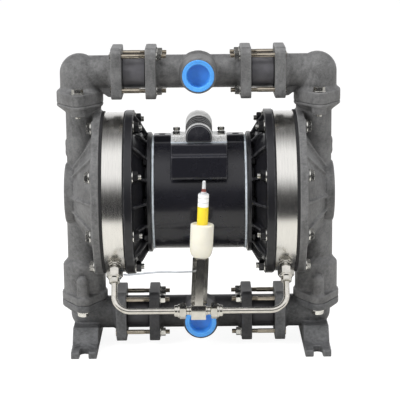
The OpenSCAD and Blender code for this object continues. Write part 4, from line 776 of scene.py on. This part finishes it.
def fasteners():
    sets = (
        ("casing_bolt_set", level_bolts("casing_bolts", M10, 0.03), "zinc", "casing_bolts"),
        ("tie_bolt_set", level_bolts("tie_bolts", M8, 0.045), "zinc_warm", "tie_bolts"),
        ("joint_bolt_set", upright_bolts(), "zinc", "joint_bolts"),
        ("casing_nuts_set", level_nuts("casing_nuts", M10), "dark_steel", "casing_nuts"),
        ("tie_nuts_set", level_nuts("tie_nuts", M8), "zinc", "tie_nuts"),
        ("joint_nut_set", upright_nuts(), "zinc", "joint_nuts"),
        ("washer_set", all_washers(), "zinc", "washers"),
        ("air_cap_screw_set", level_bolts("air_cap_screws", M8, 0.01), "dark_steel", "air_cap_screws"),
    )
    for name, shape, look, node in sets:
        piece(name, shape, look, (node,), weld=False)


# Manifold tubes and plugs
def manifolds():
    for kind in ("discharge", "suction"):
        z = middle(f"{kind}_spacers").z
        low, high = [b for b in solids(f"{kind}_spacers") if b[0].x > 0][0]
        wall = ring_profile(PIPE_BORE_R, high.y, low.x, high.x, 0.0008)
        shape = moved(lathe(wall, 96, loop=True), at(0, 0, z), turn(90, "Y"))
        # The suction spacers take the darker copy of the plastic: painted shade.
        look = "spacer_plastic" if kind == "discharge" else "spacer_shaded"
        piece(f"{kind}_spacer_tubes", both_sides(shape), look, (f"{kind}_spacers",))
        plug(kind, z)


def plug(kind, z):
    """A blue transport plug: a stepped lip and a cup that closes inside the port."""
    low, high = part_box(f"{kind}_plug")
    lip_r, skirt_r, cup_r, wall = high.x, 0.0223, 0.019, 0.0025
    face_y, lip_t = low.y, 0.003
    depth = high.y - low.y
    outline = [
        (0, depth - wall), (cup_r - 0.0015, depth - wall), (cup_r, depth - wall - 0.003), (cup_r, 0.0012),
        (cup_r + 0.0012, 0.0004), (lip_r - 0.0034, 0.0004), (lip_r - 0.0028, 0.0), (lip_r - 0.0008, 0.0),
        (lip_r, 0.0008), (lip_r, lip_t), (skirt_r, lip_t), (skirt_r, lip_t + 0.008),
        (skirt_r - 0.001, depth), (0, depth)
    ]
    profile = rounded(outline, 0.0006, 3, loop=False)
    shape = moved(lathe(profile, 96), at(0, face_y, z), turn(-90, "X"))
    piece(f"{kind}_plug_cup", shape, "plug_blue", (f"{kind}_plug",), f"{kind}_plug", sharp=50)


# Leak detector
def fitting_frame(side):
    """Local Z runs out of the ring along the fitting's axis, and local X stays along the pump."""
    return at(side * ring_mid_x, 0, casing_z) @ Matrix.Rotation(FITTING_ANGLE, 4, "X") @ turn(90, "X")


def tube_nut(length, cone):
    """A nut round the tube: a hexagon, and a cone of (radius, share of the length) points."""
    bore = TUBE_R + FIT
    body = hexagon(TUBE_NUT_FLATS, length * 0.55, bore, under=True)
    cone = [(bore, 0.5), (0.0117, 0.5), *cone, (0.0082, 1), (bore, 1)]
    outline = [(r, length * share) for r, share in cone]
    return joined(body, lathe(rounded(outline, 0.0006, 3), 48, loop=True))


def leak_detector():
    ring_r = ring_high.y
    nut_r0 = ring_r + 0.0095
    collar = lathe(rounded([
        (0.004, ring_r - 0.0005), (0.0118, ring_r - 0.0012), (0.0112, ring_r + 0.0018),
        (0.0092, ring_r + 0.0022), (0.0092, nut_r0 - 0.0035), (0.0105, nut_r0 - 0.003),
        (0.0105, nut_r0 - 0.0002), (0.004, nut_r0 - 0.0002)
    ], 0.0007, 3), 48, loop=True)
    ring_nut = tube_nut(RING_NUT_L, [(0.0112, 0.62), (0.0096, 0.7), (0.0092, 0.96)])
    side_nut = tube_nut(SIDE_NUT_L, [(0.0110, 0.66), (0.0096, 0.72), (0.0092, 0.95)])
    fittings, nuts = [], []
    for side in (-1, 1):
        fittings.append(moved(collar, fitting_frame(side)))
        nuts.append(moved(ring_nut, fitting_frame(side), at(0, 0, nut_r0)))
        inner = side * (NECK_END + 0.00001) + DETECTOR_X
        nuts.append(moved(side_nut, at(inner, drain_y, block_z), turn(90 * side, "Y")))
    piece("ring_fitting_pair", joined(*fittings), "polished", ("ring_fittings",), weld=False)
    piece("tube_nut_set", joined(*nuts), "polished", ("tube_nuts",), weld=False)
    for side, word in ((-1, "left"), (1, "right")):
        tube = drain_tube(side, nut_r0)
        piece(f"steel_drain_{word}", tube, "stainless", (f"drain_tube_{word}",), sharp=60)
    detector_block()


def drain_tube(side, nut_r0):
    """A tube from the ring fitting, round one bend and level to the tee block."""
    corner = DRAIN_REACH - TUBE_BEND
    matrix = fitting_frame(side)
    path = [(0, 0, nut_r0 + 0.0084), (0, 0, nut_r0 + 0.03), (0, 0, corner - 0.002)]
    steps = 24
    for k in range(steps + 1):
        a = pi / 2 * k / steps
        path.append((-side * TUBE_BEND * (1 - cos(a)), 0, corner + TUBE_BEND * sin(a)))
    path.append((-side * (TUBE_BEND + 0.002), 0, DRAIN_REACH))
    path.append((-side * (ring_mid_x - 0.0215) + DETECTOR_X, 0, DRAIN_REACH))
    return sweep([matrix @ Vector(p) for p in path], TUBE_R, 32)


def detector_block():
    """The tee block with its two necks, and the leaning hexagonal column with a weld round its foot."""
    half = BLOCK_HALF
    centre = at(DETECTOR_X, drain_y, block_z)
    on_block = (LEANING, at(0, 0, half))
    block = box_shape((-half, -half, -half), (half, half, half), 0.0007)
    neck = lathe(rounded([
        (0, half - 0.001), (0.0075, half - 0.001), (0.0075, half + 0.0022), (0.0066, half + 0.0028),
        (0.0066, 0.0195), (0.0075, 0.0201), (0.0075, NECK_END), (0, NECK_END)
    ], 0.0004, 2, loop=False), 36)
    column = hexagon(HEX_FLATS, COLUMN_TOP - half, 0.0063)
    corner_r = HEX_FLATS / 2 / cos(radians(30)) * 0.985
    turns = [radians(60 * k) for k in range(7)]
    corners = [Vector((corner_r * cos(a), corner_r * sin(a), 0)) for a in turns]
    beads = 12
    radii = [0.0009 + 0.0003 * (t % 2) for t in range(beads + 1)]
    weld = [sweep([a.lerp(b, t / beads) for t in range(beads + 1)], radii, 8)
            for a, b in zip(corners, corners[1:])]
    shape = joined(moved(joined(block, both_sides(moved(neck, turn(90, "Y")))), centre),
                   moved(joined(column, *weld), *on_block))
    piece("detector_column_body", shape, "polished", ("detector_column",), weld=False)


def sensor_stack():
    upright = LEANING.inverted()

    def leaning(name, outline, seg, look, node, sharp=50):
        return piece(name, moved(lathe(outline, seg), LEANING), look, (node,), sharp=sharp)

    foot_r, r, bore = HOLDER_FOOT_R, HOLDER_R, SENSOR_R + FIT
    base, top, seat = COLUMN_TOP, HOLDER_TOP, SENSOR_FOOT - 0.0002
    round_h = 0.017
    shoulder = [(foot_r + (r - foot_r) * sin(radians(a)), base + 0.001 + round_h * (1 - cos(radians(a))))
                for a in range(0, 91, 6)]
    outline = [(0, base + 0.0002), (foot_r - 0.001, base + 0.0002), *shoulder, (r, top - 0.0016),
               (r - 0.0005, top - 0.0005), (r - 0.0016, top), (bore + 0.0008, top), (bore, top - 0.0008),
               (bore, seat), (0, seat)]
    leaning("milky_holder", outline, 96, "holder_milky", "sensor_holder")

    r = SENSOR_R
    z0, z1 = SENSOR_FOOT, SENSOR_TOP
    outline = rounded([(0, z0), (r, z0), (r, z1 - 0.0005), (r - 0.0004, z1), (0, z1)], 0.0004, 2, loop=False)
    leaning("yellow_sensor", outline, 72, "sensor_yellow", "sensor")

    z0, z1, r = SENSOR_TOP, BAND_TOP, SENSOR_R - FIT
    groove, notch, line_half, cap_share = 0.0006, 0.0003, 0.04, 0.88
    shares = (0.34, 0.67)
    outline = [(0, z0), (r - 0.0003, z0), (r, z0 + 0.0004)]
    for share in shares:
        z = z0 + (z1 - z0) * share
        outline += [(r, z - groove), (r - notch, z - groove * 0.5)]
        outline += [(r - notch, z + groove * 0.5), (r, z + groove)]
    outline += [(r, z1 - 0.0015), (r - 0.0014, z1), (0, z1)]
    band = leaning("bare_band", outline, 72, "band_white", "sensor_band", 30)
    band.data.materials.append(LOOKS["gland_grey"])
    for poly in band.data.polygons:
        height = ((upright @ poly.center).z - z0) / (z1 - z0)
        if height > cap_share or min(abs(height - share) for share in shares) < line_half:
            poly.material_index = 1

    z0, z1 = BAND_TOP, GLAND_TOP
    outline = rounded([
        (0, z0), (0.0044, z0), (0.0044, z0 + 0.003), (0.0036, z0 + 0.0034), (0.0034, z0 + 0.0075),
        (0.0032, z0 + 0.008), (0.0027, z1 - 0.001), (0.0020, z1), (0, z1)
    ], 0.0003, 2, loop=False)
    gland = leaning("pale_gland", outline, 36, "gland_grey", "sensor_gland")
    gland.data.materials.append(GLAND_RED)
    for poly in gland.data.polygons:
        if z0 + 0.0031 < (upright @ poly.center).z < z0 + 0.0078:
            poly.material_index = 1


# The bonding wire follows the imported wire's own route
WIRE_ROUTE_MM = [
    (-127.894, -100, 146), (-120, -104, 146.5), (-108, -110, 149), (-95, -117, 152), (-82, -124, 155),
    (-68, -130, 157.5), (-54, -135, 159), (-40, -139, 159.5), (-27, -139.709, 160),
    (-13.486, -139.709, 160.47)
]
WIRE_D = 0.003


def bonding_wire():
    knots = [Vector(p) / 1000 for p in WIRE_ROUTE_MM]
    path = []
    steps = 8
    for p0, p1, p2, p3 in zip(knots[:1] + knots, knots, knots[1:], knots[2:] + knots[-1:]):
        for k in range(steps):
            t = k / steps
            path.append(0.5 * (2 * p1 + (p2 - p0) * t + (2 * p0 - 5 * p1 + 4 * p2 - p3) * t * t
                               + (3 * p1 - p0 - 3 * p2 + p3) * t ** 3))
    path.append(knots[-1])
    wire = piece("grey_wire", sweep(path, WIRE_D / 2, 16), "wire_grey", ("bonding_wire",), sharp=60)


# Air valve, its end cap, screws and muffler
def d_outline(r, flat):
    """A circle cut off by a level line under its centre, with the two corners rounded."""
    a0 = atan2(flat, sqrt(r * r - flat * flat))
    steps = 40
    arc = []
    for k in range(steps + 1):
        a = a0 + (pi - 2 * a0) * k / steps
        arc.append((r * cos(a), r * sin(a)))
    return rounded(arc, [0.0015] + [0] * (steps - 1) + [0.0015], 3)


def air_valve():
    upright = (at(0, end_cap_low.y, barrel_z), turn(-90, "X"), MIRROR_Y)
    r = end_cap_high.x
    flat = end_cap_low.z - barrel_z
    plate_t, stem_r, stem_end = 0.004, 0.0059, 0.010
    rim = prism(d_outline(r, flat), 0.0008, plate_t, 0.0006)
    stem = lathe([(0, plate_t - 0.001), (stem_r, plate_t - 0.001), (stem_r, stem_end), (0, stem_end)], 36)
    piece("end_cap_rim", moved(joined(rim, stem), *upright), "cap_rim", ("valve_end_cap",))
    # A thin bright metal line between the rim and the black face stands in for the highlight on the rim's
    # inner bevel: a painted highlight.
    line = prism(d_outline(r - 0.0019, flat + 0.0019), 0.0004, 0.002, 0.0002)
    piece("end_cap_highlight_line", moved(line, *upright), "aluminium")
    face = prism(d_outline(r - 0.0025, flat + 0.0025), 0.0, 0.002, 0.0003)
    piece("end_cap_face", moved(face, *upright), "body_black")
    screws = joined(*(cap_screw(*box) for box in solids("valve_screws")))
    piece("valve_screw_set", screws, "zinc", ("valve_screws",), weld=False)


def cap_screw(low, high):
    """A stud with a foot ring, a post and a hexagon head on top, in the box between two corners."""
    foot_z, mid = valve_seat_z + VALVE_FLANGE_T, (low + high) / 2
    foot_r, post_r, stud_r, pitch = 0.006, 0.0046, 0.003, 0.001
    head_h, flats = 0.005, 0.010
    post_z = high.z - head_h - 0.0002
    foot = lathe(ring_profile(stud_r - 0.0005, foot_r, foot_z, foot_z + 0.0015, 0.0004), 36, loop=True)
    post = lathe(rounded([(0, foot_z + 0.001), (post_r, foot_z + 0.001), (post_r, post_z), (0, post_z)],
                         0.0003, 2, loop=False), 30)
    shank = screw_thread(stud_r, pitch, low.z, foot_z + 0.002, 18)
    head = moved(hexagon(flats, head_h), at(0, 0, high.z - head_h))
    return moved(joined(foot, post, shank, head), at(mid.x, mid.y, 0))


def muffler():
    """A porous can under the valve's axis, on a short stub that screws into the valve."""
    r = muffler_high.x
    can_z = muffler_high.z - r
    stub_r, passage_r = 0.0059, 0.0035
    y0, y1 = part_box("valve_body")[1].y, muffler_high.y
    stub = lathe(ring_profile(passage_r, stub_r, muffler_low.y, y0 + 0.001, 0.0003), 36, loop=True)
    outline = [(0, y0), (r, y0), (r, y1 - 0.010), (r - 0.006, y1 - 0.002), (r - 0.010, y1), (0.004, y1),
               (0.004, y1 - 0.005), (0, y1 - 0.005)]
    can = lathe(rounded(outline, [0, 0.001, 0.005, 0.004, 0.002, 0.0005, 0, 0], 5, loop=False), 96)
    stub = moved(stub, at(0, 0, barrel_z), turn(-90, "X"))
    can = moved(can, at(0, 0, can_z), turn(-90, "X"))
    piece("muffler_can", joined(stub, can), "muffler_grey", ("muffler",), weld=False)


# Solids whose own shape is right keep it, and take their finish
def dress_solids():
    for name, node in frame["nodes"].items():
        node.data.materials.clear()
        node.data.materials.append(LOOKS[SLOTS[name]])
        node.data.polygons.foreach_set("use_smooth", [True] * len(node.data.polygons))
        node.data.set_sharp_from_angle(angle=radians(35))


# Camera, floor and light
def camera():
    distance, lens_px, image_px = 2.5647, 1489.4, 400
    elevation, azimuth, roll = radians(12.13), radians(0.026), radians(-0.598)
    aim = Vector((0.00078, 0, 0.2506))
    back = Vector((sin(azimuth) * cos(elevation), -cos(azimuth) * cos(elevation), sin(elevation)))
    right = (-back).cross(Vector((0, 0, 1))).normalized()
    up = right.cross(-back)
    tilted_right = right * cos(roll) + up * sin(roll)
    tilted_up = up * cos(roll) - right * sin(roll)
    data = bpy.data.cameras.new("camera")
    data.sensor_width = 36
    data.lens = lens_px / image_px * data.sensor_width
    data.clip_end = 100
    made = new_object("camera", data)
    turned = Matrix((tilted_right, tilted_up, back)).transposed().to_4x4()
    made.matrix_world = Matrix.Translation(aim + back * distance) @ turned
    scene.camera = made


def stage_nodes(owner, output):
    """The emptied node tree of a material or world, and what joins a shader to its output."""
    owner.use_nodes = True
    nodes = Nodes(owner.node_tree)
    nodes.tree.nodes.clear()
    out = nodes.node(output)
    return nodes, lambda shader: nodes.feed(out.inputs["Surface"], shader.outputs[0])


def floor():
    """A pale floor that is white to the camera, except where the pump shades it.
    What metal and gloss mirror of it ends in the dark a little way in front of the pump."""
    half = 30
    corners = [(-half, -half, 0), (half, -half, 0), (half, half, 0), (-half, half, 0)]
    mesh = bpy.data.meshes.new("floor")
    mesh.from_pydata(corners, [], [(0, 1, 2, 3)])
    made = new_object("floor", mesh)
    material = bpy.data.materials.new("pale floor")
    nodes, finish = stage_nodes(material, "ShaderNodeOutputMaterial")
    pale_to, dark_from = -0.50, -0.62
    lit = nodes.node("ShaderNodeBsdfDiffuse", (0.74, 0.73, 0.70, 1))
    far = nodes.node("ShaderNodeBsdfDiffuse", (0.03, 0.03, 0.032, 1))
    dim = nodes.node("ShaderNodeBsdfDiffuse", (0.22, 0.22, 0.22, 1))
    glow = nodes.node("ShaderNodeEmission", Strength=0.91)
    path = nodes.node("ShaderNodeLightPath").outputs
    coords = nodes.node("ShaderNodeTexCoord").outputs["Object"]
    place = nodes.node("ShaderNodeSeparateXYZ", coords).outputs
    front = nodes.node("ShaderNodeMapRange", place["Y"], pale_to, dark_from).outputs["Result"]
    dark = nodes.math("MULTIPLY", front, path["Is Glossy Ray"])
    mirrored = nodes.node("ShaderNodeMixShader", dark, lit.outputs[0], far.outputs[0])
    seen = nodes.node("ShaderNodeAddShader", dim.outputs[0], glow.outputs[0])
    finish(nodes.node("ShaderNodeMixShader", path["Is Camera Ray"], mirrored.outputs[0], seen.outputs[0]))
    made.data.materials.append(material)


def world():
    """Soft even light, and white wherever the camera, metal or glass sees past the floor."""
    made = bpy.data.worlds.new("studio")
    scene.world = made
    nodes, finish = stage_nodes(made, "ShaderNodeOutputWorld")
    fill = nodes.node("ShaderNodeBackground", (1, 1, 1, 1), 0.42)
    white = nodes.node("ShaderNodeBackground", (1, 1, 1, 1), 1.0)
    path = nodes.node("ShaderNodeLightPath").outputs
    seen = nodes.math("MAXIMUM", path["Is Camera Ray"], path["Is Glossy Ray"])
    seen = nodes.math("MAXIMUM", seen, path["Is Transmission Ray"])
    finish(nodes.node("ShaderNodeMixShader", seen, fill.outputs[0], white.outputs[0]))


def studio_shell():
    """A large cove of grey card and soft boxes that shows in metal and gloss, and not to the camera.
    Its brightness follows the angle over the front horizon, through the top and down to the rear."""
    reach, half_width, lowest, strength = 3.2, 6, 0.004, 1.15
    start, end, steps = -23, 180, 102
    tones = [(-24, 0.05), (4, 0.06), (12, 0.16), (28, 0.85), (34, 1.0), (68, 1.0), (84, 0.55), (100, 0.16),
             (140, 0.10), (150, 0.75), (180, 1.0)]
    points, faces = [], []
    for j in range(steps + 1):
        a = radians(start + (end - start) * j / steps)
        height = max(casing_z + reach * sin(a), lowest)
        points += [(-half_width, -reach * cos(a), height), (half_width, -reach * cos(a), height)]
    for j in range(steps):
        faces.append([2 * j, 2 * j + 1, 2 * j + 3, 2 * j + 2])
    mesh = bpy.data.meshes.new("studio_shell")
    mesh.from_pydata(points, [], faces)
    made = new_object("studio_shell", mesh)
    material = bpy.data.materials.new("studio cove")
    nodes, finish = stage_nodes(material, "ShaderNodeOutputMaterial")
    coords = nodes.node("ShaderNodeTexCoord").outputs["Object"]
    place = nodes.node("ShaderNodeSeparateXYZ", coords).outputs
    rise = nodes.math("SUBTRACT", place["Z"], casing_z)
    angle = nodes.math("ARCTAN2", rise, nodes.math("MULTIPLY", place["Y"], -1))
    first = tones[0][0]
    share = nodes.node("ShaderNodeMapRange", angle, radians(first), radians(end)).outputs["Result"]
    ramp = nodes.node("ShaderNodeValToRGB", share)
    finish(nodes.node("ShaderNodeEmission", ramp.outputs["Color"], strength))
    stops = ramp.color_ramp.elements
    while len(stops) < len(tones):
        stops.new(0.5)
    for stop, (degrees, tone) in zip(stops, tones):
        stop.position = (degrees - first) / (end - first)
        stop.color = (tone, tone, tone * 1.01, 1)
    made.data.materials.append(material)
    made.visible_camera = False
    made.visible_shadow = False
    made.visible_diffuse = False
    made.visible_transmission = False


def soft_box(name, place, aim, size, power):
    data = bpy.data.lights.new(name, "AREA")
    data.shape = "RECTANGLE"
    data.size, data.size_y = size
    data.energy = power
    made = new_object(name, data)
    made.location = place
    made.rotation_mode = "QUATERNION"
    made.rotation_quaternion = (Vector(aim) - Vector(place)).to_track_quat("-Z", "Y")
    made.visible_glossy = False
    made.visible_camera = False


def lights():
    aim = (0, 0, 0.27)
    soft_box("left_soft_box", (-2.2, -1.7, 1.7), aim, (1.3, 1.6), 76)
    soft_box("right_soft_box", (2.3, -1.6, 1.5), aim, (1.2, 1.5), 32)
    soft_box("top_soft_box", (0, -0.5, 2.6), aim, (2.2, 1.4), 42)


camera()
bonding_wire()
floor()
world()
studio_shell()
lights()
dress_solids()
castings()
containment_rings()
fasteners()
manifolds()
leak_detector()
sensor_stack()
air_valve()
muffler()
